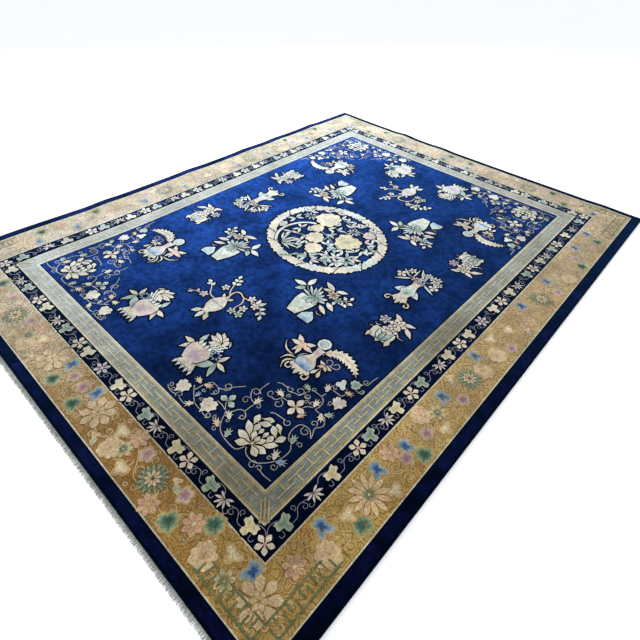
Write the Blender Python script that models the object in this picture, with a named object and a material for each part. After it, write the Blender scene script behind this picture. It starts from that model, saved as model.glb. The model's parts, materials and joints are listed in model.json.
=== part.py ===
"""Chinese art deco rug, lying flat.

One hand-knotted carpet: thick sheared wool pile on a cotton foundation, with lines carved between
its borders, and at each short end a narrow woven strip whose warp ends stand on as a short fringe.
Metres, +Z up. The length runs along Y, and the origin is on the floor under the rug's middle.
"""
import math
import random

import bmesh
import bpy

# Driving sizes
RUG_WIDTH = 2.756            # pile, along X
PILE_LENGTH = 3.558          # pile, along Y, without strips and fringe
PILE_THICKNESS = 0.012       # foundation and pile together
TOUCH_GAP = 0.0005           # between the pile's end and the woven strip

# Lines carved between the borders: half the width and half the length of each rectangle
CARVED_LINES = {
    "field": (0.932, 1.372),
    "fret border": (1.029, 1.465),
    "flower border": (1.112, 1.535),
    "wide border": (1.322, 1.733),
}
CARVE_WIDTH = 0.006
CARVE_DEPTH = 0.002

# The pile's shoulder: distance in from the edge, and how far the top is below full height
SHOULDER = (
    (0.000, 0.0055),
    (0.002, 0.0020),
    (0.006, 0.0000),
)

# The rug doesn't lie quite square: how far its left side (x < 0) and its far side (y > 0) are
# drawn in along their run. The draw fades from the field's edge to the middle of the rug.
LEFT_DRAW = (
    (-1.38, 0.000),
    (-0.80, 0.022),
    (0.00, 0.015),
    (0.60, 0.006),
    (1.15, 0.000),
)
FAR_DRAW = (
    (-1.38, 0.004),
    (-1.00, 0.016),
    (0.35, 0.018),
    (0.95, 0.010),
    (1.38, 0.000),
)

# Low ripples where those two edges don't lie quite down: middle along the edge, rise, half run
LEFT_RIPPLES = (
    (-0.77, 0.005, 0.14),
    (-0.10, 0.004, 0.16),
    (0.47, 0.004, 0.15),
    (0.82, 0.004, 0.14),
    (1.25, 0.007, 0.12),
)
FAR_RIPPLES = (
    (-0.62, 0.008, 0.12),
    (-0.24, 0.005, 0.13),
    (1.12, 0.004, 0.16),
)
RIPPLE_REACH = 0.30          # how far in from the edge a ripple runs out

GRID_STEP = 0.06             # spacing of the body's grid before flat stretches are merged
FLAT_ANGLE = math.radians(0.004)

# Woven strip and fringe at each short end
STRIP_DEPTH = 0.006
STRIP_THICKNESS = 0.003
STRIP_INSET = 0.004          # each end of the strip stops this far in from the pile's corner
LOCKS_PER_END = 148
LOCK_LENGTH = 0.0115
LOCK_ROOT_WIDTH = 0.0115
LOCK_TIP_WIDTH = 0.0085
LOCK_LEAN = 0.0022           # most a lock's tip strays sideways
LOCK_UNEVEN = 0.0018         # most a lock's length strays
FRINGE_SEED = 11


def clear_scene():
    for old in list(bpy.data.objects):
        bpy.data.objects.remove(old, do_unlink=True)


def material(name, colour, roughness):
    mat = bpy.data.materials.new(name)
    mat.use_nodes = True
    shader = mat.node_tree.nodes["Principled BSDF"]
    shader.inputs["Base Color"].default_value = (*colour, 1.0)
    shader.inputs["Roughness"].default_value = roughness
    shader.inputs["Metallic"].default_value = 0.0
    return mat


def eased(value, rows):
    """Reads a (place, amount) table at a place, with level tangents at each row."""
    if value <= rows[0][0]:
        return rows[0][1]
    for (start, low), (end, high) in zip(rows, rows[1:]):
        if value <= end:
            t = (value - start) / (end - start)
            return low + (high - low) * t * t * (3.0 - 2.0 * t)
    return rows[-1][1]


def hump(distance, half_run):
    """1 at the middle, falling to 0 at half_run, and 0 beyond it."""
    if abs(distance) >= half_run:
        return 0.0
    return 0.5 + 0.5 * math.cos(math.pi * distance / half_run)


def ripple_lift(x, y):
    """How far the rug is off the floor at a place."""
    left = sum(rise * hump(y - middle, run) for middle, rise, run in LEFT_RIPPLES)
    left *= hump(max(0.0, x + RUG_WIDTH / 2), RIPPLE_REACH)
    far = sum(rise * hump(x - middle, run) for middle, rise, run in FAR_RIPPLES)
    far *= hump(max(0.0, PILE_LENGTH / 2 - y), RIPPLE_REACH)
    return left + far


def as_laid(x, y):
    """Moves a point of the square rug to where it lies."""
    field_x, field_y = CARVED_LINES["field"]
    across = min(1.0, max(0.0, -x / field_x))
    along = min(1.0, max(0.0, y / field_y))
    return (x + across * eased(y, LEFT_DRAW), y - along * eased(x, FAR_DRAW))


def grid_lines(half, carved):
    """Places of the grid lines along one axis: shoulders, carved lines, and even steps between."""
    fixed = {0.0}
    for inset, _ in SHOULDER:
        fixed.update((half - inset, inset - half))
    for line in carved:
        for side in (-1.0, 1.0):
            fixed.update(side * line + step for step in (-CARVE_WIDTH / 2, 0.0, CARVE_WIDTH / 2))
    fixed = sorted(fixed)
    lines = []
    for low, high in zip(fixed, fixed[1:]):
        steps = max(1, round((high - low) / GRID_STEP))
        lines += [low + (high - low) * k / steps for k in range(steps)]
    return lines + [fixed[-1]]


def carved_depth(x, y):
    """Depth of the carved line at a place on the pile."""
    depth = 0.0
    for half_x, half_y in CARVED_LINES.values():
        off_line = abs(max(abs(x) - half_x, abs(y) - half_y))
        depth = max(depth, CARVE_DEPTH * max(0.0, 1.0 - off_line / (CARVE_WIDTH / 2)))
    return depth


def shoulder_drop(x, y):
    inset = min(RUG_WIDTH / 2 - abs(x), PILE_LENGTH / 2 - abs(y))
    drop = 0.0
    for (near, high), (far, low) in zip(SHOULDER, SHOULDER[1:]):
        if near <= inset + 1e-6 < far:
            drop = high + (low - high) * (inset - near) / (far - near)
    return drop


def rug_body(collection, wool):
    """Foundation and pile as one solid: a grid laid out flat, thickened, and merged where plane."""
    xs = grid_lines(RUG_WIDTH / 2, [half_x for half_x, _ in CARVED_LINES.values()])
    ys = grid_lines(PILE_LENGTH / 2, [half_y for _, half_y in CARVED_LINES.values()])
    bm = bmesh.new()
    bmesh.ops.create_grid(bm, x_segments=len(xs) - 1, y_segments=len(ys) - 1, size=0.5)
    for vert in bm.verts:
        column = round((vert.co.x + 0.5) * (len(xs) - 1))
        row = round((vert.co.y + 0.5) * (len(ys) - 1))
        vert.co = (xs[column], ys[row], 0.0)
    raised = bmesh.ops.extrude_face_region(bm, geom=bm.faces[:])["geom"]
    for vert in raised:
        if isinstance(vert, bmesh.types.BMVert):
            x, y, _ = vert.co
            vert.co.z = PILE_THICKNESS - carved_depth(x, y) - shoulder_drop(x, y)
    for vert in bm.verts:
        x, y, z = vert.co
        vert.co = (*as_laid(x, y), z + ripple_lift(x, y))
    bmesh.ops.recalc_face_normals(bm, faces=bm.faces[:])
    bmesh.ops.dissolve_limit(bm, angle_limit=FLAT_ANGLE, verts=bm.verts[:], edges=bm.edges[:])
    mesh = bpy.data.meshes.new("rug_body")
    bm.to_mesh(mesh)
    bm.free()
    mesh.materials.append(wool)
    body = bpy.data.objects.new("rug_body", mesh)
    collection.objects.link(body)
    return body


def lock_columns():
    """Where the locks' roots start and end along the strip, with the strip's own two ends."""
    half = RUG_WIDTH / 2 - STRIP_INSET
    pitch = 2 * half / LOCKS_PER_END
    columns = [-half]
    for k in range(LOCKS_PER_END):
        middle = -half + pitch * (k + 0.5)
        columns += [middle - LOCK_ROOT_WIDTH / 2, middle + LOCK_ROOT_WIDTH / 2]
    return columns + [half]


def fringe(name, side, collection, cotton, rng):
    """One woven strip and its fringe: a long narrow grid, whose outer edge grows a lock wherever
    two columns bound one, thickened and laid along the pile's end. side is -1 near, 1 far."""
    columns = lock_columns()
    start = PILE_LENGTH / 2 + TOUCH_GAP
    bm = bmesh.new()
    bmesh.ops.create_grid(bm, x_segments=len(columns) - 1, y_segments=1, size=0.5)
    for vert in bm.verts:
        column = round((vert.co.x + 0.5) * (len(columns) - 1))
        vert.co = (columns[column], start + (STRIP_DEPTH if vert.co.y > 0 else 0.0), 0.0)
    outer = [edge for edge in bm.edges if all(vert.co.y > start + STRIP_DEPTH / 2 for vert in edge.verts)]
    outer.sort(key=lambda edge: edge.verts[0].co.x + edge.verts[1].co.x)
    for root in outer[1::2]:
        middle = (root.verts[0].co.x + root.verts[1].co.x) / 2
        tip = middle + rng.uniform(-LOCK_LEAN, LOCK_LEAN)
        length = LOCK_LENGTH + rng.uniform(-LOCK_UNEVEN, LOCK_UNEVEN)
        grown = bmesh.ops.extrude_edge_only(bm, edges=[root])["geom"]
        for vert in grown:
            if isinstance(vert, bmesh.types.BMVert):
                half_tip = math.copysign(LOCK_TIP_WIDTH / 2, vert.co.x - middle)
                vert.co = (tip + half_tip, vert.co.y + length, 0.0)
    raised = bmesh.ops.extrude_face_region(bm, geom=bm.faces[:])["geom"]
    for vert in raised:
        if isinstance(vert, bmesh.types.BMVert):
            vert.co.z = STRIP_THICKNESS
    for vert in bm.verts:
        x, y, z = vert.co
        vert.co = (*as_laid(x, side * y), z + ripple_lift(x, side * y))
    bmesh.ops.recalc_face_normals(bm, faces=bm.faces[:])
    mesh = bpy.data.meshes.new(name)
    bm.to_mesh(mesh)
    bm.free()
    mesh.materials.append(cotton)
    strip = bpy.data.objects.new(name, mesh)
    collection.objects.link(strip)
    return strip


def build():
    clear_scene()
    collection = bpy.data.collections.new("chinese_art_deco_rug")
    bpy.context.scene.collection.children.link(collection)
    wool = material("blue wool pile", (0.016, 0.045, 0.17), 0.95)
    cotton = material("undyed cotton", (0.62, 0.60, 0.54), 0.9)
    rng = random.Random(FRINGE_SEED)
    rug_body(collection, wool)
    fringe("fringe_near", -1, collection, cotton, rng)
    fringe("fringe_far", 1, collection, cotton, rng)


build()
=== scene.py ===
"""A Chinese art deco rug lying flat on a pale floor, in soft light from beyond its far left side.

A hand-knotted wool carpet, 2.76 by 3.56 m: a deep blue field with vases and flowers round a flower
medallion, a fret border, a dark flower border, a wide gold border, and a short cotton fringe.
"""
import json
import math
import random

import bmesh
import bpy
from mathutils import Matrix, Vector

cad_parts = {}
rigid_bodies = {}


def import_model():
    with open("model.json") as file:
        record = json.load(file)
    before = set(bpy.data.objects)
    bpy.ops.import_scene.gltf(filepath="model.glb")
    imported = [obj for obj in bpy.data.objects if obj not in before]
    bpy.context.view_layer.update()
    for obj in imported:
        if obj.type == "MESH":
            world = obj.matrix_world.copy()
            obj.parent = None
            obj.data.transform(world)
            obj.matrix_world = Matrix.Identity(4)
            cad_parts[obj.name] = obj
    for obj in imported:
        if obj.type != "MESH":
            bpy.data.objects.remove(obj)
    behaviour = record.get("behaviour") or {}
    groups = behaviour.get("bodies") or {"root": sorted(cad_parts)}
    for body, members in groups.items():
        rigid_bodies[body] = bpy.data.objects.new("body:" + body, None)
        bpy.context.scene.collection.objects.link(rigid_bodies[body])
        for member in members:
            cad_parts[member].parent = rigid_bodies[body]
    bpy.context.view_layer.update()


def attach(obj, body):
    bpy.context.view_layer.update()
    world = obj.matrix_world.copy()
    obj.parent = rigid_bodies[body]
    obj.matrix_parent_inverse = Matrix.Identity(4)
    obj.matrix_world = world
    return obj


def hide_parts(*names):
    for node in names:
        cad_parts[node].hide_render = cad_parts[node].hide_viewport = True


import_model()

# ---------------------------------------------------------------- camera
# Standing height off the near right corner, looking down across the rug, turned a little.
camera_data = bpy.data.cameras.new("camera")
camera_data.lens = 24.87
camera_data.sensor_width = 36.0
camera = bpy.data.objects.new("camera", camera_data)
bpy.context.scene.collection.objects.link(camera)
eye = Vector((1.5239, -1.8132, 1.5650))
sight = Vector((-0.46874, 0.54736, -0.69331))
image_right = Vector((0.73311, 0.67891, 0.04034))
image_up = Vector((-0.49278, 0.48936, 0.71951))
camera.matrix_world = Matrix((
    (image_right.x, image_up.x, -sight.x, eye.x),
    (image_right.y, image_up.y, -sight.y, eye.y),
    (image_right.z, image_up.z, -sight.z, eye.z),
    (0.0, 0.0, 0.0, 1.0)))
bpy.context.scene.camera = camera
bpy.context.scene.view_settings.view_transform = "Standard"

# ---------------------------------------------------------------- floor
# A plain pale floor, a little mottled.
floor_mesh = bpy.data.meshes.new("floor")
floor_mesh.from_pydata([(-30, -30, 0), (30, -30, 0), (30, 30, 0), (-30, 30, 0)], [], [(0, 1, 2, 3)])
floor = bpy.data.objects.new("floor", floor_mesh)
bpy.context.scene.collection.objects.link(floor)
floor_material = bpy.data.materials.new("pale_floor")
floor_material.use_nodes = True
floor_nodes, floor_links = floor_material.node_tree.nodes, floor_material.node_tree.links
floor_shader = floor_nodes["Principled BSDF"]
floor_shader.inputs["Roughness"].default_value = 0.85
floor_shader.inputs["Specular IOR Level"].default_value = 0.2
floor_place = floor_nodes.new("ShaderNodeTexCoord")
floor_noise = floor_nodes.new("ShaderNodeTexNoise")
floor_noise.inputs["Scale"].default_value = 1.4
floor_noise.inputs["Detail"].default_value = 3.0
floor_ramp = floor_nodes.new("ShaderNodeValToRGB")
floor_ramp.color_ramp.elements[0].color = (0.93, 0.93, 0.93, 1.0)
floor_ramp.color_ramp.elements[1].color = (0.97, 0.97, 0.97, 1.0)
floor_links.new(floor_place.outputs["Object"], floor_noise.inputs["Vector"])
floor_links.new(floor_noise.outputs["Fac"], floor_ramp.inputs["Fac"])
floor_links.new(floor_ramp.outputs["Color"], floor_shader.inputs["Base Color"])
floor_mesh.materials.append(floor_material)

# ---------------------------------------------------------------- light
# Daylight from a wide window beyond the rug's far left side, and an even bright room.
world = bpy.data.worlds.new("room")
world.use_nodes = True
world.node_tree.nodes["Background"].inputs["Color"].default_value = (0.96, 0.98, 1.0, 1.0)
world.node_tree.nodes["Background"].inputs["Strength"].default_value = 1.04
bpy.context.scene.world = world
for name, place, aim, size, power, colour in (
        ("window", (-3.0, 2.0, 1.9), (-0.6, 0.4, 0.0), (4.5, 2.0), 150.0, (1.0, 0.99, 0.97)),
        ("ceiling", (-0.6, 1.2, 3.6), (0.0, 0.0, 0.0), (3.5, 3.5), 20.0, (1.0, 1.0, 1.0))):
    light_data = bpy.data.lights.new(name, "AREA")
    light_data.shape = "RECTANGLE"
    light_data.size, light_data.size_y = size
    light_data.energy = power
    light_data.color = colour
    light = bpy.data.objects.new(name, light_data)
    light.location = place
    light.rotation_euler = (Vector(aim) - Vector(place)).to_track_quat("-Z", "Y").to_euler()
    bpy.context.scene.collection.objects.link(light)

# ---------------------------------------------------------------- pile
# The rug itself: thick wool pile, hand-knotted and sheared level, with grooves carved along its
# border lines. The left and far edges are drawn in a little and lie in low ripples.
RUG_WIDTH, PILE_LENGTH, PILE_THICKNESS = 2.756, 3.558, 0.012
FIELD = (0.932, 1.372)                 # half the width and half the length of the field
LEFT_DRAW = ((-1.38, 0.000), (-0.80, 0.022), (0.00, 0.015), (0.60, 0.006), (1.15, 0.000))
FAR_DRAW = ((-1.38, 0.004), (-1.00, 0.016), (0.35, 0.018), (0.95, 0.010), (1.38, 0.000))
LEFT_RIPPLES = ((-0.77, 0.005, 0.14), (-0.10, 0.004, 0.16), (0.47, 0.004, 0.15),
                (0.82, 0.004, 0.14), (1.25, 0.007, 0.12))      # middle, rise, half run
FAR_RIPPLES = ((-0.62, 0.008, 0.12), (-0.24, 0.005, 0.13), (1.12, 0.004, 0.16))
RIPPLE_REACH = 0.30
CARVED = (FIELD, (1.029, 1.465), (1.112, 1.535), (1.322, 1.733))
CARVE_WIDTH, CARVE_DEPTH = 0.006, 0.002
SHOULDER = ((0.000, 0.0055), (0.0008, 0.0036), (0.002, 0.0020), (0.004, 0.0007), (0.006, 0.0))
GRID_STEP = 0.05


def dye(red, green, blue):
    """A dyed wool colour, given as it looks in this light, 0 to 255. Wool takes some of the light,
    and of the red the most."""
    return tuple(kept * (c / 255.0 / 12.92 if c <= 10 else ((c / 255.0 + 0.055) / 1.055) ** 2.4)
                 for kept, c in zip((0.65, 0.70, 0.72), (red, green, blue)))


BLACK, NAVY, FIELD_BLUE = dye(2, 4, 10), dye(9, 15, 52), dye(25, 54, 119)
OUTER_NAVY, FAR_NAVY = dye(17, 22, 68), dye(8, 11, 34)
GOLD, RAIL, TAN = dye(196, 158, 91), dye(228, 214, 186), dye(206, 180, 128)
SLATE, SHADE = dye(140, 150, 146), dye(98, 100, 84)
# The thin black bands at the four carved lines are painted shade of the grooves.
BANDS = (            # each rectangle's half width, half length and dye, from the edge inwards
    (1.378, 1.779, BLACK), (1.368, 1.769, OUTER_NAVY), (1.3255, 1.7365, BLACK),
    (1.319, 1.730, RAIL), (1.314, 1.725, GOLD), (1.1185, 1.5425, RAIL), (1.1135, 1.5375, BLACK),
    (1.1085, 1.5325, NAVY), (1.0325, 1.468, BLACK), (1.027, 1.4625, RAIL), (1.0215, 1.457, TAN),
    (1.0165, 1.452, SHADE), (1.014, 1.4495, TAN), (1.0095, 1.445, SHADE), (1.0075, 1.443, SLATE),
    (0.9525, 1.392, SHADE), (0.9505, 1.390, TAN), (0.9405, 1.380, RAIL), (0.9345, 1.374, BLACK),
    (0.929, 1.369, FIELD_BLUE))


def eased(value, rows):
    """Reads a (place, amount) table at a place, with level tangents at each row."""
    if value <= rows[0][0]:
        return rows[0][1]
    for (start, low), (end, high) in zip(rows, rows[1:]):
        if value <= end:
            t = (value - start) / (end - start)
            return low + (high - low) * t * t * (3.0 - 2.0 * t)
    return rows[-1][1]


def hump(distance, half_run):
    """1 at the middle, falling to 0 at half_run, and 0 beyond it."""
    return 0.0 if abs(distance) >= half_run else 0.5 + 0.5 * math.cos(math.pi * distance / half_run)


def laid(x, y, z):
    """Moves a point of the square, level rug to where it lies."""
    left = sum(rise * hump(y - middle, run) for middle, rise, run in LEFT_RIPPLES)
    left *= hump(max(0.0, x + RUG_WIDTH / 2), RIPPLE_REACH)
    far = sum(rise * hump(x - middle, run) for middle, rise, run in FAR_RIPPLES)
    far *= hump(max(0.0, PILE_LENGTH / 2 - y), RIPPLE_REACH)
    across = min(1.0, max(0.0, -x / FIELD[0]))
    along = min(1.0, max(0.0, y / FIELD[1]))
    return (x + across * eased(y, LEFT_DRAW), y - along * eased(x, FAR_DRAW), z + left + far)


def lay_mesh(mesh):
    """Lays a mesh made on the square, level rug where the rug lies, with its faces outwards."""
    bm = bmesh.new()
    bm.from_mesh(mesh)
    for vert in bm.verts:
        vert.co = laid(*vert.co)
    bmesh.ops.recalc_face_normals(bm, faces=bm.faces[:])
    bm.to_mesh(mesh)
    bm.free()


DARK_RED = 0.02                 # a dye with less red than this counts as dark, and takes no painted sheen and fade


def wool(name, shine, sheen=0.03, uneven=1.0, patches=(), curl_groove_shade=None, groove_shade_strength=0.6, sheen_and_fade=0.0,
         full_sheen_and_fade=1.3, sheen_and_fade_to=dye(238, 233, 222), pale_shade_slope=-0.10, shade_and_light_patches=()):
    """Sheared wool that takes its colour from the dye attribute: tufts a few millimetres across,
    uneven dyeing from lot to lot, and painted shade, which deepens the dyes towards the near right,
    most of all the deep blues. patches are soft areas of another dye, rows of (dye, scale, start,
    amount), curl_groove_shade is the dye of fine carved curls, painted shade in their grooves, as
    strong as groove_shade_strength, and sheen_and_fade how far the pale dyes turn paler and cooler,
    to sheen_and_fade_to, beyond full_sheen_and_fade towards the far left corner, and less towards the
    near right one: painted sheen and window light, and partly sun fade. pale_shade_slope is how far
    the painted shade deepens the pale dyes. shade_and_light_patches are wide areas of another dye,
    rows of (x, y, reach, dye, amount), soft to their edges, painted shade and painted light, and a
    dark one only takes in the deep blues."""
    material = bpy.data.materials.new(name)
    material.use_nodes = True
    nodes, links = material.node_tree.nodes, material.node_tree.links
    shader = nodes["Principled BSDF"]
    shader.inputs["Roughness"].default_value = 0.95
    shader.inputs["Specular IOR Level"].default_value = 0.0
    shader.inputs["Sheen Weight"].default_value = sheen
    shader.inputs["Sheen Roughness"].default_value = 0.5
    shader.inputs["Sheen Tint"].default_value = (*shine, 1.0)
    place = nodes.new("ShaderNodeTexCoord").outputs["Object"]

    def feed(socket, value):
        if isinstance(value, bpy.types.NodeSocket):
            links.new(value, socket)
        else:
            socket.default_value = value

    def noise(scale, detail):
        node = nodes.new("ShaderNodeTexNoise")
        node.inputs["Scale"].default_value = scale
        node.inputs["Detail"].default_value = detail
        links.new(place, node.inputs["Vector"])
        return node.outputs["Fac"]

    def scaled(value, from_low, from_high, low, high):
        node = nodes.new("ShaderNodeMapRange")
        for socket, number in zip(("Value", "From Min", "From Max", "To Min", "To Max"),
                                  (value, from_low, from_high, low, high)):
            feed(node.inputs[socket], number)
        return node.outputs["Result"]

    def maths(operation, first, second=0.0):
        node = nodes.new("ShaderNodeMath")
        node.operation = operation
        feed(node.inputs[0], first)
        feed(node.inputs[1], second)
        return node.outputs[0]

    def mixed(factor, first, second, blend_type="MIX"):
        node = nodes.new("ShaderNodeMix")
        node.data_type = "RGBA"
        node.blend_type = blend_type
        for socket, value in (("Factor", factor), ("A", first), ("B", second)):
            feed(node.inputs[socket], value)
        return node.outputs["Result"]

    colours = nodes.new("ShaderNodeVertexColor")
    colours.layer_name = "dye"
    colour = colours.outputs["Color"]
    parts = nodes.new("ShaderNodeSeparateColor")
    links.new(colour, parts.inputs["Color"])
    deep_blue = scaled(maths("DIVIDE", parts.outputs["Red"], parts.outputs["Blue"]), 0.05, 0.35, 1.0, 0.0)
    apart = nodes.new("ShaderNodeSeparateXYZ")
    links.new(place, apart.inputs["Vector"])
    x, y = apart.outputs["X"], apart.outputs["Y"]
    for patch_dye, scale, start, amount in patches:
        there = scaled(noise(scale, 3.0), start, start + 0.12, 0.0, amount)
        colour = mixed(there, colour, (*patch_dye, 1.0))
    # painted sheen and cooler window light, and partly sun fade: the pale dyes turn paler towards the far
    # left corner
    if sheen_and_fade:
        towards_window = maths("SUBTRACT", maths("MULTIPLY", y, 0.4), maths("MULTIPLY", x, 0.6))
        sheen_and_fade_share = maths("MULTIPLY", scaled(towards_window, -1.2, full_sheen_and_fade, 0.0, sheen_and_fade),
                         scaled(parts.outputs["Red"], DARK_RED, 0.2, 0.0, 1.0))
        colour = mixed(sheen_and_fade_share, colour, (*sheen_and_fade_to, 1.0))
    # wide soft patches of painted shade and painted light
    for shading_x, shading_y, reach, shading_dye, amount in shade_and_light_patches:
        away = nodes.new("ShaderNodeVectorMath")
        away.operation = "DISTANCE"
        links.new(place, away.inputs[0])
        away.inputs[1].default_value = (shading_x, shading_y, 0.0)
        there = scaled(away.outputs["Value"], 0.0, reach, amount, 0.0)
        if shading_dye[0] < DARK_RED:
            there = maths("MULTIPLY", there, deep_blue)
        colour = mixed(there, colour, (*shading_dye, 1.0))
    height = noise(420.0, 2.0)
    if curl_groove_shade:
        wander = nodes.new("ShaderNodeTexNoise")
        wander.inputs["Scale"].default_value = 16.0
        links.new(place, wander.inputs["Vector"])
        bent = nodes.new("ShaderNodeVectorMath")
        bent.operation = "MULTIPLY_ADD"
        links.new(wander.outputs["Color"], bent.inputs[0])
        bent.inputs[1].default_value = (0.06, 0.06, 0.0)
        links.new(place, bent.inputs[2])
        curls = nodes.new("ShaderNodeTexVoronoi")
        curls.voronoi_dimensions = "2D"
        curls.inputs["Scale"].default_value = 23.0
        links.new(bent.outputs[0], curls.inputs["Vector"])
        ring = maths("PINGPONG", maths("MULTIPLY", curls.outputs["Distance"], 3.3), 0.5)
        carved = scaled(ring, 0.02, 0.20, 1.0, 0.0)
        # painted shade in the grooves of the carved curls
        colour = mixed(maths("MULTIPLY", carved, groove_shade_strength), colour, (*curl_groove_shade, 1.0))
        height = maths("SUBTRACT", height, carved)
    tuft = scaled(noise(170.0, 3.0), 0.34, 0.66, 0.80 - 0.18 * uneven, 1.20 + 0.18 * uneven)
    lot = scaled(noise(38.0, 4.0), 0.38, 0.62, 1.0 - 0.34 * uneven, 1.0 + 0.34 * uneven)
    nap = scaled(noise(5.0, 7.0), 0.38, 0.62, 1.0 - 0.36 * uneven, 1.0 + 0.36 * uneven)
    # painted shade: every dye deepens towards the near right and the near end, the deep blues most, in place
    # of the light's fall-off and the sheen
    lean = maths("ADD", maths("MULTIPLY", x, scaled(deep_blue, 0.0, 1.0, pale_shade_slope, -0.62)),
                 maths("MULTIPLY", y, scaled(deep_blue, 0.0, 1.0, 0.0, 0.03)))
    near = scaled(y, -1.35, -0.75, scaled(deep_blue, 0.0, 1.0, 0.88, 0.60), 1.0)
    shade = maths("MULTIPLY", maths("MULTIPLY", maths("EXPONENT", lean), near),
                  maths("MULTIPLY", maths("MULTIPLY", tuft, lot), nap))
    grey = nodes.new("ShaderNodeCombineColor")
    for channel in ("Red", "Green", "Blue"):
        links.new(shade, grey.inputs[channel])
    links.new(mixed(1.0, colour, grey.outputs["Color"], "MULTIPLY"), shader.inputs["Base Color"])
    bump = nodes.new("ShaderNodeBump")
    bump.inputs["Strength"].default_value = 0.55
    bump.inputs["Distance"].default_value = 0.0016
    links.new(height, bump.inputs["Height"])
    links.new(bump.outputs["Normal"], shader.inputs["Normal"])
    return material


def grid_places(half, edges):
    """Places of grid lines along one axis: every band's edge, and even steps between."""
    fixed = sorted({side * edge for edge in edges for side in (-1.0, 1.0)} | {0.0})
    places = []
    for low, high in zip(fixed, fixed[1:]):
        steps = max(1, round((high - low) / GRID_STEP))
        places += [low + (high - low) * k / steps for k in range(steps)]
    return places + [half]


def pile_top(x, y):
    """How high the sheared pile stands at a place: lower in the grooves and at its shoulders."""
    drop = 0.0
    for half_x, half_y in CARVED:
        off_line = abs(max(abs(x) - half_x, abs(y) - half_y))
        drop = max(drop, CARVE_DEPTH * max(0.0, 1.0 - off_line / (CARVE_WIDTH / 2)))
    inset = min(RUG_WIDTH / 2 - abs(x), PILE_LENGTH / 2 - abs(y))
    for (near, high), (far, low) in zip(SHOULDER, SHOULDER[1:]):
        if near <= inset + 1e-6 < far:
            drop = high + (low - high) * (inset - near) / (far - near)
    return PILE_THICKNESS - drop


NEAR_CORNER_SHADE = (0.78, -1.2, 0.85, dye(13, 22, 54), 0.72)            # painted shade over the field's near right corner
wool_material = wool("blue_wool", (0.10, 0.38, 1.0), sheen=0.12, shade_and_light_patches=(NEAR_CORNER_SHADE,))
# The gold's wide patches: painted shade at the near end, and at the far left and near left patches that even
# out the painted light and sheen.
gold_material = wool("gold_wool", (1.0, 0.93, 0.78), uneven=0.4, sheen_and_fade=0.70, full_sheen_and_fade=1.0, groove_shade_strength=0.82,
                     patches=((dye(184, 116, 50), 9.0, 0.56, 0.60), (dye(224, 196, 140), 18.0, 0.55, 0.30)),
                     curl_groove_shade=dye(130, 84, 38), shade_and_light_patches=((0.5, -1.62, 0.85, dye(152, 104, 50), 0.88),
                                                     (-1.3, 0.70, 1.40, dye(184, 174, 152), 0.56),
                                                     (-1.0, -1.15, 1.10, dye(252, 246, 232), 0.46)))
# The trim's wide patches: painted shade at the near right corner and over a fold on the right side, and at
# the far left and near left patches that even out the painted light and sheen.
trim_material = wool("trim_wool", (1.0, 0.97, 0.9), uneven=0.35, patches=((TAN, 60.0, 0.50, 0.40),),
                     sheen_and_fade=0.70, sheen_and_fade_to=dye(226, 232, 238), pale_shade_slope=-0.13,
                     shade_and_light_patches=((0.78, -1.42, 0.50, dye(96, 82, 58), 0.50),
                           (1.0, -0.25, 0.34, dye(96, 82, 54), 0.55),
                           (-1.2, 0.80, 1.40, dye(176, 178, 172), 0.42),
                           (-0.7, -1.25, 0.95, dye(252, 252, 248), 0.32)))
navy_material = wool("navy_wool", (0.10, 0.38, 1.0), sheen=0.12, patches=((BLACK, 11.0, 0.46, 0.70),))
column_edges = [half_x for half_x, _, _ in BANDS]
row_edges = [half_y for _, half_y, _ in BANDS]
for half_x, half_y in CARVED:
    column_edges += [half_x + step for step in (-CARVE_WIDTH / 2, 0.0, CARVE_WIDTH / 2)]
    row_edges += [half_y + step for step in (-CARVE_WIDTH / 2, 0.0, CARVE_WIDTH / 2)]
for inset, _ in SHOULDER:
    column_edges.append(RUG_WIDTH / 2 - inset)
    row_edges.append(PILE_LENGTH / 2 - inset)
columns = grid_places(RUG_WIDTH / 2, column_edges)
rows = grid_places(PILE_LENGTH / 2, row_edges)
bm = bmesh.new()
bmesh.ops.create_grid(bm, x_segments=len(columns) - 1, y_segments=len(rows) - 1, size=0.5)
for vert in bm.verts:
    column = round((vert.co.x + 0.5) * (len(columns) - 1))
    row = round((vert.co.y + 0.5) * (len(rows) - 1))
    vert.co = (columns[column], rows[row], 0.0)
for vert in bmesh.ops.extrude_face_region(bm, geom=bm.faces[:])["geom"]:
    if isinstance(vert, bmesh.types.BMVert):
        vert.co.z = pile_top(vert.co.x, vert.co.y)
dye_layer = bm.loops.layers.float_color.new("dye")
for face in bm.faces:
    middle = face.calc_center_median()
    half_x, half_y, band_dye = [band for band in BANDS
                                if abs(middle.x) < band[0] + 1e-5 and abs(middle.y) < band[1] + 1e-5][-1]
    at_far_end = band_dye == OUTER_NAVY and middle.y > BANDS[2][1]
    for loop in face.loops:
        loop[dye_layer] = (*(FAR_NAVY if at_far_end else band_dye), 1.0)
    face.material_index = (1 if band_dye == GOLD else 2 if band_dye in (RAIL, TAN, SLATE, SHADE)
                           else 3 if band_dye in (NAVY, OUTER_NAVY) else 0)
pile_mesh = bpy.data.meshes.new("rug_pile")
bm.to_mesh(pile_mesh)
bm.free()
lay_mesh(pile_mesh)
for pile_wool in (wool_material, gold_material, trim_material, navy_material):
    pile_mesh.materials.append(pile_wool)
pile = bpy.data.objects.new("rug_pile", pile_mesh)
bpy.context.scene.collection.objects.link(pile)
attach(pile, "root")
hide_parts("rug_body")

# ---------------------------------------------------------------- fret border
# Tan interlocked T's on slate wool, in a rail of tan and cream. Each T stands a shade proud, since
# the pile is sheared round it. The knots of one pair are drawn, and the pair is repeated.
GROUND = PILE_THICKNESS               # level of the pile's top, which the motifs stand on


def blend(first, second, share):
    """A dye between two, at a share of the way."""
    return tuple(a + (b - a) * share for a, b in zip(first, second))


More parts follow.
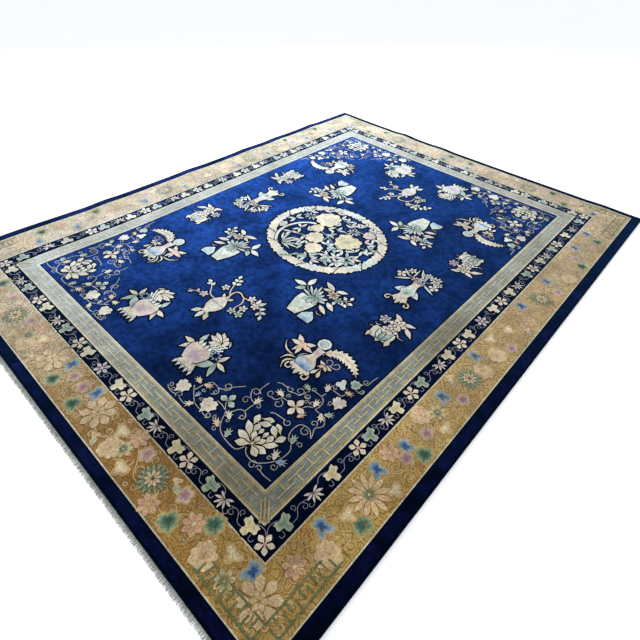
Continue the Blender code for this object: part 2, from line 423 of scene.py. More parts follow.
def curve(a, b, c, d, t):
    """A smooth curve through four values, read at the share t between the middle two."""
    return 0.5 * (2 * b + (c - a) * t + (2 * a - 5 * b + 4 * c - d) * t * t
                  + (3 * b - a - 3 * c + d) * t ** 3)


class Skins:
    """Closed skins of dyed points, gathered as one unit of a repeat, in metres from the floor."""
    per_metre, start_height = 1.0, 0.0

    def __init__(self):
        self.points, self.faces, self.dyes = [], [], []

    def ring_skin(self, rings):
        """Joins rings of equal numbers of (x, y, z, dye) points into a closed skin."""
        first, count = len(self.points), len(rings[0])
        for ring in rings:
            for x, y, z, point_dye in ring:
                self.points.append((x / self.per_metre, y / self.per_metre,
                                    self.start_height + z / self.per_metre))
                self.dyes.append(point_dye)
        for k in range(len(rings) - 1):
            a, b = first + k * count, first + (k + 1) * count
            for i in range(count):
                j = (i + 1) % count
                self.faces.append((a + i, a + j, b + j, b + i))
        self.faces.append(tuple(range(first, first + count))[::-1])
        self.faces.append(tuple(range(first + (len(rings) - 1) * count, first + len(rings) * count)))

    def object(self, name):
        """The skins as an object."""
        mesh = bpy.data.meshes.new(name)
        mesh.from_pydata(self.points, [], self.faces)
        colours = mesh.color_attributes.new("dye", "FLOAT_COLOR", "POINT")
        colours.data.foreach_set("color", [c for d in self.dyes for c in (*d, 1.0)])
        return bpy.data.objects.new(name, mesh)


class Tufts(Skins):
    """Motifs of a pattern, drawn on the level pile as low closed patches, in millimetres. Each patch
    lies a hair above the one before, and has a narrow rim of the outline's dye, where the real pile
    is carved, sharp or blended: a dark rim is painted shade of that groove. pinch is how far the
    outline also takes from the patch itself. With a halo, painted shade darkens the ground for
    that far round each patch, running out to the ground's own dye. slim narrows the petals."""
    per_metre, start_height = 1000.0, GROUND
    foot, halo_foot, halo_top = -0.3, -0.02, 0.1      # a patch's lowest edge, and a painted shade halo's two

    def __init__(self, outline, rim=3.6, pinch=0.0, step=0.02, halo=0.0, ground=FIELD_BLUE,
                 sharp=True, slim=1.0):
        super().__init__()
        self.outline, self.rim, self.pinch, self.step = outline, rim, pinch, step
        self.halo, self.ground, self.sharp, self.slim, self.level = halo, ground, sharp, slim, 0.5

    def ribbon(self, rows, rim=None, line=False):
        """A patch along rows of (x, y, half width, edge dye, middle dye). A line has no halo and no
        middle of its own."""
        rim = self.rim if rim is None else rim
        self.level += self.step
        z, rings, shade, last = self.level, [], [], len(rows) - 1
        for k, (x, y, half, edge, middle) in enumerate(rows):
            before, after = rows[max(k - 1, 0)], rows[min(k + 1, last)]
            dx, dy = after[0] - before[0], after[1] - before[1]
            run = math.hypot(dx, dy) or 1.0
            dx, dy = dx / run, dy / run
            out, push = half + rim, 0.0
            if rim > 1.0 and not line:
                half = max(0.6, half - self.pinch)
            if k in (0, last):
                push = -0.6 * rim if k == 0 else 0.6 * rim
            # painted shade on the ground round the patch, dark at its rim and running out to the ground's dye
            if self.halo and rim and not line and (k % 2 == 0 or k == last):
                wide = out + self.halo
                ends = [(0.0, out, wide, self.halo_top)]
                if k in (0, last):
                    reach = math.copysign(abs(push) * 1.6 + self.halo, push)
                    ends.insert(0 if k == 0 else 1, (reach, 0.4 * wide, 0.45 * wide, self.halo_foot))
                for step, near, far, height in ends:
                    u, v = x + step * dx, y + step * dy
                    shade.append([(u - dy * far, v + dx * far, self.halo_foot, self.ground),
                                  (u - dy * near, v + dx * near, height, self.outline),
                                  (u + dy * near, v - dx * near, height, self.outline),
                                  (u + dy * far, v - dx * far, self.halo_foot, self.ground)])
            x, y = x + push * dx, y + push * dy
            rim_dye = self.outline if rim else edge
            if line:
                profile = [(out, self.foot, rim_dye), (half + 0.4, z, rim_dye), (half, z, edge)]
            else:
                profile = [(out, self.foot, rim_dye), (out, z - 0.02, rim_dye), (half, z, edge)]
                if self.sharp:
                    profile.insert(2, (half + 0.4, z - 0.01, rim_dye))
            ring = [(x - dy * reach, y + dx * reach, height, ring_dye)
                    for reach, height, ring_dye in profile]
            ring += [] if line else [(x, y, z + 0.005, middle)]
            ring += [(x + dy * reach, y - dx * reach, height, ring_dye)
                     for reach, height, ring_dye in profile[::-1]]
            rings.append(ring)
        if shade:
            self.ring_skin(shade)
        self.ring_skin(rings)

    def petal(self, x0, y0, x1, y1, width, base, tip, full=0.45, bend=0.0):
        """A petal or leaf from its base to its tip, widest at the share full of its length."""
        rows, power = [], math.log(0.5) / math.log(full)
        for k in range(7):
            t = k / 6.0
            swell = math.sin(math.pi * t ** power) if 0 < k < 6 else 0.0
            side = bend * math.sin(math.pi * t)
            edge = blend(base, tip, t)
            rows.append((x0 + (x1 - x0) * t - (y1 - y0) * side, y0 + (y1 - y0) * t + (x1 - x0) * side,
                         max(0.6, self.slim * width / 2 * swell ** 0.85), edge,
                         blend(edge, base, 0.9 - 0.7 * t)))
        self.ribbon(rows)

    def petals(self, rows):
        for row in rows:
            self.petal(*row)

    def ray(self, x, y, degrees, start, reach, width, base, tip, full=0.45):
        """A petal pointing away from a middle, from start to reach away from it."""
        c, s = math.cos(math.radians(degrees)), math.sin(math.radians(degrees))
        self.petal(x + start * c, y + start * s, x + reach * c, y + reach * s, width, base, tip, full)

    def stem(self, points, width, root, tip_width, tip, parts=3):
        """A line through points, as a smooth curve, from width and root's dye to tip's."""
        rows, last = [], len(points) - 1
        for k in range(last):
            p = [points[min(max(k + step, 0), last)] for step in (-1, 0, 1, 2)]
            for part in range(parts + (k == last - 1)):
                t = part / parts
                x, y = (curve(*values, t) for values in zip(*p))
                along = (k + t) / last
                shade = blend(root, tip, along)
                rows.append((x, y, (width + (tip_width - width) * along) / 2, shade, shade))
        self.ribbon(rows, line=width < 10.0)

    def vessel(self, x, y, rows):
        """An upright form from rows of (height, half width, edge dye, middle dye), rounded between."""
        smooth, last = [], len(rows) - 1
        for k in range(last):
            p = [rows[min(max(k + step, 0), last)] for step in (-1, 0, 1, 2)]
            for part in range(3 + (k == last - 1)):
                t = part / 3.0
                smooth.append((x, y + p[1][0] + (p[2][0] - p[1][0]) * t, curve(*(row[1] for row in p), t),
                               blend(p[1][2], p[2][2], t), blend(p[1][3], p[2][3], t)))
        self.ribbon(smooth)

    def patch(self, x, y, reaches, rings, turn=0.0, squash=1.0, rim=None):
        """A patch round its middle, given how far it reaches at even angles, with rings of (share
        of that reach, dye)."""
        rim = self.rim if rim is None else rim
        self.level += self.step
        z, c, s = self.level, math.cos(math.radians(turn)), math.sin(math.radians(turn))

        def ring(grown, share, height, ring_dye):
            points = []
            for k, reach in enumerate(reaches):
                angle = 2.0 * math.pi * k / len(reaches)
                u, v = (share * (reach + grown) * part
                        for part in (math.cos(angle), squash * math.sin(angle)))
                points.append((x + u * c - v * s, y + u * s + v * c, height, ring_dye))
            return points

        # painted shade on the ground round the patch
        if self.halo and rim > 1.0:
            self.ring_skin([ring(rim + self.halo, 1.0, self.halo_foot, self.ground),
                            ring(rim, 1.0, self.halo_top, self.outline)])
        skin = [ring(rim, 1.0, self.foot, self.outline), ring(rim, 1.0, z - 0.02, self.outline)]
        pinch = self.pinch if rim > 1.0 else 0.0
        if self.sharp:
            skin.append(ring(0.4 - pinch, 1.0, z - 0.01, self.outline))
        skin += [ring(-pinch, share, z, ring_dye) for share, ring_dye in reversed(rings)]
        self.ring_skin(skin)

    def rosette(self, x, y, radius, lobes, depth, rings, squash=1.0, turn=0.0, rim=None):
        """A round patch, scalloped in lobes."""
        count = max(12, lobes * 5)
        reaches = [radius * (1.0 - depth * (1.0 - abs(math.cos(lobes * math.pi * k / count)))) if lobes
                   else radius for k in range(count)]
        self.patch(x, y, reaches, rings, turn, squash, rim)

    def flower(self, x, y, radius, petals, tip, base, heart, turn=0.0, full=0.62, wide=1.0):
        """A flower of equal petals round a small heart."""
        width = 2.0 * math.pi * radius * 0.56 / petals * wide
        for k in range(petals):
            self.ray(x, y, turn + 360.0 * k / petals, radius * 0.1, radius, width, base, tip, full)
        self.rosette(x, y, radius * 0.17, 0, 0.0, ((0.5, heart), (1.0, heart)), rim=0.8)

    def leaf(self, x, y, turn, size, shape, tip, base):
        """A lobed leaf or bud as one patch, pointing along turn, with veins of its base's dye."""
        self.patch(x, y, [size * reach for reach in shape], ((0.45, blend(tip, base, 0.6)), (1.0, tip)), turn)
        for lean in (0, 108, -108) if shape in (TREFOIL, VINE_LEAF) else (0,):
            a = math.radians(turn + lean)
            self.ribbon([(x + size * r * math.cos(a), y + size * r * math.sin(a), 0.7, base, base)
                         for r in (-0.1, 0.62)], rim=0.0, line=True)


def planting_tree():
    """Geometry nodes: sets one of a collection's units on each point, by the point's own pick,
    turn, mirror and scale, and makes one mesh of them."""
    tree = bpy.data.node_groups.new("plant_units", "GeometryNodeTree")
    tree.interface.new_socket("Points", in_out="INPUT", socket_type="NodeSocketGeometry")
    tree.interface.new_socket("Units", in_out="INPUT", socket_type="NodeSocketCollection")
    tree.interface.new_socket("Wool", in_out="INPUT", socket_type="NodeSocketMaterial")
    tree.interface.new_socket("Geometry", in_out="OUTPUT", socket_type="NodeSocketGeometry")
    nodes, links = tree.nodes, tree.links
    given, result = nodes.new("NodeGroupInput"), nodes.new("NodeGroupOutput")

    def named(name, kind):
        node = nodes.new("GeometryNodeInputNamedAttribute")
        node.data_type = kind
        node.inputs["Name"].default_value = name
        return node.outputs["Attribute"]

    units = nodes.new("GeometryNodeCollectionInfo")
    units.inputs["Separate Children"].default_value = True
    units.inputs["Reset Children"].default_value = True
    links.new(given.outputs["Units"], units.inputs["Collection"])
    plant = nodes.new("GeometryNodeInstanceOnPoints")
    plant.inputs["Pick Instance"].default_value = True
    links.new(given.outputs["Points"], plant.inputs["Points"])
    links.new(units.outputs["Instances"], plant.inputs["Instance"])
    links.new(named("pick", "INT"), plant.inputs["Instance Index"])
    links.new(named("turn", "FLOAT_VECTOR"), plant.inputs["Rotation"])
    links.new(named("size", "FLOAT_VECTOR"), plant.inputs["Scale"])
    real = nodes.new("GeometryNodeRealizeInstances")
    dress = nodes.new("GeometryNodeSetMaterial")
    links.new(plant.outputs["Instances"], real.inputs["Geometry"])
    links.new(real.outputs["Geometry"], dress.inputs["Geometry"])
    links.new(given.outputs["Wool"], dress.inputs["Material"])
    links.new(dress.outputs["Geometry"], result.inputs["Geometry"])
    return tree


PLANT_UNITS = planting_tree()


def planted(name, units, places, material):
    """Repeats units at places, rows of (unit's number, x, y, turn in degrees, mirror, scale) in
    metres on the level rug, and lays the result on the rug as one piece."""
    collection = bpy.data.collections.new(name + "_units")
    for number, unit in enumerate(units):
        collection.objects.link(unit.object(f"{name}_unit_{number:02d}"))
    mesh = bpy.data.meshes.new(name + "_places")
    mesh.from_pydata([(x, y, 0.0) for _, x, y, _, _, _ in places], [], [])
    mesh.attributes.new("pick", "INT", "POINT").data.foreach_set("value", [row[0] for row in places])
    mesh.attributes.new("turn", "FLOAT_VECTOR", "POINT").data.foreach_set(
        "vector", [c for row in places for c in (0.0, 0.0, math.radians(row[3]))])
    mesh.attributes.new("size", "FLOAT_VECTOR", "POINT").data.foreach_set(
        "vector", [c for row in places for c in (row[4] * row[5], row[5], 1.0)])
    grower = bpy.data.objects.new(name + "_places", mesh)
    bpy.context.scene.collection.objects.link(grower)
    modifier = grower.modifiers.new("plant", "NODES")
    modifier.node_group = PLANT_UNITS
    sockets = {item.name: item.identifier for item in PLANT_UNITS.interface.items_tree
               if item.in_out == "INPUT"}
    modifier[sockets["Units"]] = collection
    modifier[sockets["Wool"]] = material
    bpy.context.view_layer.update()
    settled = grower.evaluated_get(bpy.context.evaluated_depsgraph_get())
    grown = bpy.data.meshes.new_from_object(settled)
    bpy.data.objects.remove(grower, do_unlink=True)
    for unit in list(collection.objects):
        bpy.data.objects.remove(unit, do_unlink=True)
    bpy.data.collections.remove(collection)
    grown.name = name
    lay_mesh(grown)
    piece = bpy.data.objects.new(name, grown)
    bpy.context.scene.collection.objects.link(piece)
    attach(piece, "root")
    return piece


def bar(tufts, x0, y0, x1, y1, width, bar_dye):
    """A straight square-ended line, without a carved rim."""
    steps = max(1, round(math.hypot(x1 - x0, y1 - y0) / 30.0))
    tufts.ribbon([(x0 + (x1 - x0) * k / steps, y0 + (y1 - y0) * k / steps, width / 2, bar_dye, bar_dye)
                  for k in range(steps + 1)], rim=0.0, line=True)


def on_sides(rows_by_side):
    """Turns rows (unit, distance along, distance out, mirror) of each side into places."""
    places = []
    for side, side_rows in rows_by_side.items():
        for unit, along, out, mirror in side_rows:
            x, y, turn = {"near": (-along, -out, 180.0), "far": (along, out, 0.0),
                          "right": (out, -along, -90.0), "left": (-out, along, 90.0)}[side]
            places.append((unit, x, y, turn, mirror, 1.0))
    return places


def each_side(at_ends, at_sides):
    """The rug's four sides, with one set of values for its two ends and one for its long sides."""
    return (("near", *at_ends), ("far", *at_ends), ("right", *at_sides), ("left", *at_sides))


FRET_LINE, FRET_MIDDLE = dye(208, 186, 138), (0.9805, 1.418)
tee_pair, mitre = Tufts(SLATE), Tufts(SLATE)
for width, line_dye in ((12.0, SHADE), (7.6, FRET_LINE)):         # each line is edged by a darker one, painted groove shade
    for x0, y0, x1, y1 in ((0, 28, 0, -11), (-45, -11, 45, -11), (71, -28, 71, 9), (26, 9, 116, 9)):
        bar(tee_pair, x0, y0, x1, y1, width, line_dye)
    for x0, y0, x1, y1 in ((-28, -28, 28, 28), (-48, -28, 8, 28), (-28, -48, 28, 8)):
        bar(mitre, x0, y0, x1, y1, width - 1.0, line_dye)
fret_rows = {}
for side, count, half, out in each_side((13, 0.922, FRET_MIDDLE[1]), (19, 1.360, FRET_MIDDLE[0])):
    pitch = 2 * half / count
    fret_rows[side] = [(0, -half + pitch * (k + 0.25), out, 1.0) for k in range(count)]
fret_places = on_sides(fret_rows)
fret_places += [(1, FRET_MIDDLE[0] * sx, FRET_MIDDLE[1] * sy, 0.0 if sx * sy > 0 else 90.0, 1.0, 1.0)
                for sx in (-1, 1) for sy in (-1, 1)]
planted("fret_border", [tee_pair, mitre], fret_places, trim_material)

# ---------------------------------------------------------------- flower vases and bowls
# The field's twenty vases and bowls, from six drawings, in cream, peach, pink, green and light blue
# wool, clipped round their outlines. Lengths are millimetres from each one's middle, y upwards.
CREAM, WHITE, PEACH = dye(234, 225, 206), dye(243, 242, 236), dye(232, 198, 158)
PINK, MAUVE, PALE_LILAC = dye(226, 186, 176), dye(190, 154, 166), dye(206, 188, 192)
GREEN, PALE_GREEN, APRICOT = dye(112, 138, 120), dye(194, 206, 182), dye(226, 168, 128)
BLUE, PALE_BLUE, GREY = dye(94, 132, 180), dye(184, 204, 222), dye(128, 130, 144)
pattern_material = wool("pattern_wool", (1.0, 0.97, 0.9), uneven=0.4, sheen_and_fade=0.52, full_sheen_and_fade=0.7,
                        sheen_and_fade_to=dye(236, 248, 256), pale_shade_slope=-0.14, shade_and_light_patches=(NEAR_CORNER_SHADE,))


def fruit_bowl():
    t = Tufts(BLACK, rim=3.8, pinch=1.4, halo=12.0)
    t.petals(((-70, 6, -76, 66, 28, PALE_GREEN, PALE_BLUE), (-76, -16, -144, -20, 28, PEACH, CREAM),
              (-80, -22, -114, -76, 26, MAUVE, CREAM), (92, -12, 108, 42, 25, PINK, CREAM),
              (96, -18, 158, -28, 25, PEACH, WHITE), (92, -24, 124, -98, 30, GREEN, PALE_GREEN),
              (8, -104, 90, -34, 46, GREEN, PALE_GREEN, 0.6)))
    t.rosette(22, 38, 46, 0, 0.0, ((0.5, NAVY), (1.0, NAVY)), squash=0.8, rim=1.0)
    for x, y in ((-30, 122), (10, 114), (-56, 100), (-62, 70), (-34, 34), (36, 100)):
        t.petal(24, 64, x, y, 30, PEACH, CREAM, full=0.60)
    t.petal(40, 108, 62, 80, 12, GREEN, CREAM)
    for row, (start, count) in enumerate(((-22, 4), (-12, 4), (-16, 5), (24, 2), (34, 2))):
        for k in range(count):
            x, y = start + 17 * k, 10 + 14 * row
            t.stem(((x - 5, y - 4), (x + 6, y + 5)), 9, CREAM, 7, WHITE, parts=2)
    t.vessel(0, 0, ((-138, 60, PEACH, CREAM), (-118, 52, CREAM, PEACH), (-96, 40, PEACH, CREAM)))
    for x in (-52, -26, 0, 26, 52):
        t.petal(x, -130, x * 1.08, -156, 17, CREAM, WHITE, full=0.3)
    t.vessel(-20, 0, ((-102, 38, CREAM, PEACH), (-78, 54, PINK, MAUVE), (-48, 66, PINK, MAUVE),
                      (-24, 67, PEACH, PINK), (-4, 58, CREAM, PEACH), (8, 46, CREAM, CREAM)))
    for x in (-58, -38, -14, 8):
        t.petal(x, -4, x * 1.1, 20 - 0.12 * x, 22, CREAM, WHITE, full=0.35)
    for k in range(8):
        a = math.radians(45 * k + 10)
        t.petal(58 + 12 * math.cos(a), 3 + 10 * math.sin(a), 58 + 30 * math.cos(a), 3 + 26 * math.sin(a),
                13, BLUE, PALE_BLUE, full=0.5)
    t.rosette(58, 3, 12, 0, 0.0, ((0.5, NAVY), (1.0, NAVY)), rim=1.0)
    return t


def blossom_vase():
    t = Tufts(BLACK, rim=3.8, pinch=0.5, halo=12.0, slim=0.95)
    t.stem(((2, 12), (-8, 50), (-6, 84), (20, 98), (60, 84), (100, 92), (161, 66)), 12, PEACH, 5, PEACH)
    t.stem(((60, 84), (84, 50), (84, 0)), 7, PEACH, 4, PINK)
    t.stem(((-6, 46), (-34, 70), (-60, 120), (-84, 176)), 8, PEACH, 4, PINK)
    t.stem(((-30, -26), (-90, -20), (-130, 16), (-178, 54)), 7, PEACH, 4, PINK)
    t.stem(((100, 92), (150, 100), (190, 82), (232, 48)), 6, PINK, 4, PINK)
    t.stem(((-110, -30), (-150, -52), (-206, -72)), 6, PINK, 4, MAUVE)
    t.petals(((-62, 124, -84, 128, 22, CREAM, WHITE), (-56, 128, -36, 146, 22, CREAM, WHITE),
              (-70, 150, -94, 154, 22, CREAM, WHITE), (-68, 154, -50, 172, 22, PALE_GREEN, CREAM),
              (-84, 170, -92, 198, 22, CREAM, WHITE), (146, 96, 136, 138, 24, CREAM, WHITE),
              (160, 98, 176, 138, 24, PALE_GREEN, WHITE), (184, 84, 206, 104, 22, CREAM, WHITE),
              (206, 70, 232, 80, 21, CREAM, WHITE), (226, 52, 240, 26, 21, CREAM, WHITE),
              (204, 66, 200, 40, 21, PALE_GREEN, CREAM), (-146, 28, -150, 56, 22, CREAM, WHITE),
              (-168, 46, -198, 50, 22, CREAM, WHITE), (-160, 40, -178, 22, 21, PALE_GREEN, CREAM),
              (-160, -56, -170, -34, 20, MAUVE, PINK), (-180, -64, -196, -90, 20, MAUVE, PINK)))
    t.vessel(-4, 0, ((-126, 25, CREAM, PEACH), (-108, 22, PEACH, CREAM), (-86, 40, PINK, CREAM),
                     (-52, 50, PEACH, CREAM), (-42, 50, GREEN, PALE_GREEN), (-34, 48, CREAM, PEACH),
                     (-8, 34, CREAM, PINK), (12, 22, PEACH, CREAM), (22, 29, CREAM, WHITE)))
    for x in (-40, -22, -4, 14, 32):
        t.rosette(x, -41, 4.0, 0, 0.0, ((0.4, GREEN), (1.0, PALE_GREEN)), rim=0.8)
    t.petals(((-20, 14, -38, 34, 18, PEACH, CREAM), (0, 16, -2, 42, 18, PEACH, CREAM),
              (16, 14, 34, 34, 18, PEACH, CREAM), (-26, -122, -58, -164, 30, PEACH, CREAM),
              (-4, -124, -5, -180, 30, CREAM, WHITE), (18, -122, 46, -164, 30, PEACH, CREAM)))
    for x, y, tip, heart in ((-76, 72, WHITE, PINK), (-117, -42, CREAM, PINK), (99, 107, WHITE, PINK),
                             (122, 26, CREAM, PINK), (91, -24, PALE_GREEN, GREEN),
                             (138, -18, PALE_GREEN, GREEN), (155, 80, CREAM, PINK)):
        t.flower(x, y, 23, 5, tip, heart, PEACH, turn=x)
    return t


def feather_vase():
    t = Tufts(BLACK, rim=3.8, pinch=1.4, halo=12.0)
    spine = ((20, 38, 8), (46, 62, 18), (64, 76, 23), (84, 84, 25), (106, 87, 26), (128, 85, 25),
             (150, 80, 23), (172, 71, 19), (192, 60, 14), (208, 48, 8), (220, 34, 2))
    vane = []
    for (x0, y0, half), (x1, y1, further) in zip(spine, spine[1:]):
        for share, grown in ((0.0, 8.0), (0.16, -6.0), (0.6, 0.0)):
            vane.append((x0 + (x1 - x0) * share, y0 + (y1 - y0) * share,
                         max(1.5, half + (further - half) * share + grown), CREAM, PEACH))
    t.ribbon(vane)
    t.stem([(x, y) for x, y, _ in spine[::2]], 3, GOLD, 2, GOLD)
    t.petals(((-78, -66, -164, -22, 11, PEACH, WHITE, 0.4, 0.18),
              (-60, -72, -104, -120, 12, PEACH, WHITE, 0.4, -0.24),
              (-52, -84, -66, -158, 12, PEACH, WHITE, 0.4, -0.3),
              (-36, -18, -54, -74, 8, PALE_BLUE, BLUE, 0.5, -0.14)))
    for x, y, width in ((-144, 48, 30), (-40, 48, 30), (-150, 0, 27), (-24, 2, 27), (-104, -48, 20),
                        (-76, -54, 24)):
        t.petal(-88, 6, x, y, width, APRICOT, CREAM, full=0.48)
    t.rosette(-88, 8, 20, 5, 0.2, ((0.5, APRICOT), (1.0, PEACH)), rim=0.6)
    t.rosette(-14, 84, 36, 8, 0.06, ((0.28, PALE_GREEN), (0.60, GREEN), (0.74, CREAM), (1.0, PALE_BLUE)))
    for k in range(6):
        t.rosette(-14 + 16 * math.cos(k * 1.047), 84 + 16 * math.sin(k * 1.047), 4.2, 0, 0.0,
                  ((0.4, WHITE), (1.0, CREAM)), rim=0.8)
    t.stem(((76, -8), (92, -2), (96, 16), (84, 30), (68, 28), (62, 14), (72, 6)), 4, MAUVE, 3, MAUVE)
    t.stem(((92, 0), (110, 0), (128, 6), (133, 22), (122, 34), (108, 30), (106, 18)), 4, MAUVE, 3, MAUVE)
    t.petals(((78, -18, 42, -4, 22, PEACH, CREAM), (78, -18, 116, -16, 22, PEACH, CREAM),
              (78, -18, 54, -38, 20, PINK, PEACH), (78, -18, 100, -38, 20, PINK, PEACH),
              (72, -42, 56, -90, 20, PEACH, CREAM, 0.7), (78, -42, 94, -90, 20, PEACH, CREAM, 0.7)))
    for side in (-1, 1):
        t.stem([(2 + side * x, y) for x, y in ((50, -100), (64, -116), (60, -138), (40, -138), (38, -124))],
               11, PEACH, 8, CREAM)
        t.petal(2 + 25 * side, -104, 2 + 24 * side, -130, 22, PEACH, CREAM)
    t.petal(2, -100, 2, -146, 26, PEACH, CREAM)
    t.vessel(2, 0, ((-114, 54, PEACH, CREAM), (-104, 60, CREAM, PEACH), (-92, 50, PEACH, CREAM)))
    t.vessel(0, 0, ((-96, 36, GREEN, BLUE), (-82, 48, PALE_BLUE, BLUE), (-64, 51, PALE_BLUE, PALE_BLUE),
                    (-44, 45, PEACH, PINK), (-24, 30, CREAM, PEACH), (-8, 19, CREAM, PEACH),
                    (14, 20, PINK, MAUVE), (36, 21, PINK, PINK), (46, 25, CREAM, PINK)))
    return t


def urn():
    t = Tufts(BLACK, rim=3.8, pinch=1.4, halo=12.0)
    t.stem(((-100, 66), (-84, 50), (-56, 34)), 5, GREEN, 5, GREEN)
    t.petals(((-104, 72, -106, 142, 36, CREAM, WHITE), (-112, 64, -186, 52, 34, CREAM, WHITE),
              (-100, 48, -136, 4, 32, GREEN, PALE_GREEN), (32, 136, -44, 164, 32, PINK, WHITE),
              (46, 142, 102, 168, 30, CREAM, WHITE), (24, 124, -22, 106, 24, PEACH, CREAM),
              (70, 36, 134, 6, 32, CREAM, PEACH), (54, -6, 120, -40, 28, PEACH, CREAM),
              (72, -52, 112, -62, 7, MAUVE, PINK, 0.5, -0.2)))
    t.stem(((100, 96), (126, 112), (146, 128), (148, 140)), 4, MAUVE, 4, GREEN)
    t.stem(((126, 112), (146, 106), (160, 96)), 4, MAUVE, 4, MAUVE)
    for x, y, turn in ((146, 150, 90), (118, 128, 150), (164, 112, 0), (150, 82, -30), (96, 58, -70),
                       (128, 84, -50)):
        t.ray(x, y, turn, -12, 15, 22, CREAM, WHITE)
    for k in range(8):
        t.ray(55, 103, 45 * k, 5, 34, 17, APRICOT, CREAM if k % 2 else PEACH, full=0.6)
    t.flower(104, 88, 25, 5, PALE_GREEN, GREEN, CREAM, turn=30)
    for x, y, width in ((-96, 30, 17), (-86, 78, 15), (-52, 84, 17), (-36, 112, 16), (-6, 88, 20),
                        (22, 66, 20), (56, 50, 24), (64, 22, 22)):
        t.petal(-8, 8, x, y, width, GREEN, WHITE, full=0.66)
    t.vessel(-22, 0, ((-142, 30, CREAM, PEACH), (-128, 36, PALE_GREEN, CREAM), (-98, 45, CREAM, PALE_GREEN),
                      (-60, 57, PALE_GREEN, CREAM), (-26, 60, CREAM, PALE_GREEN), (0, 58, CREAM, PALE_GREEN)))
    t.petals(((-2, 22, -50, -34, 40, GREEN, PALE_GREEN, 0.4), (2, 22, 24, -28, 44, GREEN, PALE_GREEN, 0.4),
              (-2, 16, -14, -42, 34, GREEN, PALE_GREEN, 0.4)))
    t.rosette(-42, -76, 14, 6, 0.2, ((0.4, PALE_GREEN), (1.0, PEACH)), rim=1.0)
    t.rosette(2, -92, 13, 6, 0.2, ((0.4, PINK), (1.0, PEACH)), rim=1.0)
    t.vessel(66, 0, ((-148, 39, PALE_BLUE, BLUE), (-114, 40, PALE_GREEN, PALE_BLUE),
                     (-94, 25, PALE_GREEN, PALE_BLUE), (-76, 6, PALE_GREEN, CREAM)))
    return t


def flower_pot():
    t = Tufts(BLACK, rim=3.8, pinch=1.4, halo=12.0)
    t.petals(((8, 66, -42, 94, 27, PINK, CREAM), (24, 56, 86, 76, 27, PINK, WHITE),
              (50, 42, 110, -4, 28, PINK, CREAM), (-54, -22, -84, -30, 8, PALE_GREEN, WHITE, 0.5, 0.3),
              (-60, -30, -94, -62, 8, PALE_GREEN, WHITE, 0.5, 0.3),
              (40, -14, 90, -42, 10, CREAM, WHITE, 0.4, -0.25), (46, -24, 66, -46, 9, CREAM, WHITE)))
    for x, y, radius, tip, heart in ((-62, 24, 31, PALE_LILAC, MAUVE), (9, 32, 44, CREAM, PEACH),
                                     (4, -28, 42, CREAM, PINK)):
        t.flower(x, y, radius, 6, tip, heart, heart, turn=x, wide=1.15)
        t.flower(x, y, radius * 0.6, 5, tip, heart, PEACH, turn=20 + x)
    t.vessel(-9, 0, ((-118, 60, CREAM, PEACH), (-92, 63, PEACH, CREAM), (-62, 65, CREAM, PEACH),
                     (-46, 60, CREAM, CREAM)))
    for x, width, tip in ((-66, 22, CREAM), (-6, 36, PALE_GREEN), (46, 30, CREAM)):
        t.petal(x, -98, x, -136, width, PEACH, tip, full=0.35)
    t.petals(((-6, -118, -40, -52, 30, PALE_GREEN, CREAM), (-2, -118, 34, -52, 34, GREEN, PALE_GREEN),
              (-4, -120, -4, -50, 22, GREEN, CREAM)))
    return t


def narcissus_vase():
    t = Tufts(BLACK, rim=3.8, pinch=1.4, halo=12.0)
    t.petals(((8, 116, -42, 196, 17, PEACH, WHITE), (-46, 100, -52, 182, 13, PEACH, WHITE),
              (-66, 92, -124, 132, 17, PALE_GREEN, CREAM), (-48, 84, -120, 22, 17, PINK, WHITE),
              (30, 82, 118, 40, 17, PALE_BLUE, WHITE), (34, 82, 30, 194, 19, BLUE, PALE_BLUE, 0.5, 0.14)))
    t.stem(((28, 96), (52, 118), (84, 124), (94, 108)), 6, GREEN, 5, GREEN)
    t.stem(((-50, 96), (-82, 108), (-86, 132)), 5, GREEN, 4, GREEN)
    for x, y, reach, tip, heart in (
            (-114, 80, 29, WHITE, PEACH), (-80, 146, 24, WHITE, PEACH), (-2, 162, 16, CREAM, PALE_GREEN),
            (16, 172, 20, WHITE, MAUVE), (52, 164, 24, CREAM, PALE_GREEN), (76, 172, 22, WHITE, PALE_GREEN),
            (74, 140, 25, CREAM, PALE_GREEN), (102, 136, 20, CREAM, PALE_GREEN), (92, 92, 28, WHITE, PINK),
            (-26, 88, 21, PINK, MAUVE), (-2, 104, 18, CREAM, PINK), (-6, 74, 18, CREAM, PEACH),
            (26, 78, 18, PINK, MAUVE)):
        t.flower(x, y, reach, 4 if reach > 26 else 5, tip, heart, GOLD, turn=y)
    for side in (-1, 1):
        t.stem([(8 + side * x, y) for x, y in ((46, -120), (68, -130), (72, -150), (54, -156), (50, -142))],
               12, PEACH, 9, CREAM)
        t.petal(8 + 26 * side, -112, 8 + 20 * side, -142, 20, PEACH, CREAM)
    t.petal(8, -108, 8, -160, 26, PEACH, CREAM)
    t.vessel(8, 0, ((-124, 48, PEACH, CREAM), (-108, 42, CREAM, APRICOT), (-90, 34, PEACH, APRICOT),
                    (-76, 28, PALE_GREEN, PEACH)))
    t.petals(((0, 6, -66, -54, 44, PALE_BLUE, CREAM, 0.55, 0.08),
              (14, 6, 80, -54, 44, PALE_BLUE, CREAM, 0.55, -0.08)))
    t.vessel(7, 0, ((-82, 28, PALE_GREEN, CREAM), (-58, 32, PALE_GREEN, GREEN), (-44, 46, PALE_GREEN, GREEN),
                    (-20, 36, CREAM, PALE_GREEN), (4, 28, CREAM, PALE_GREEN), (22, 23, CREAM, PEACH),
                    (42, 22, PINK, PEACH), (58, 25, CREAM, PINK)))
    return t


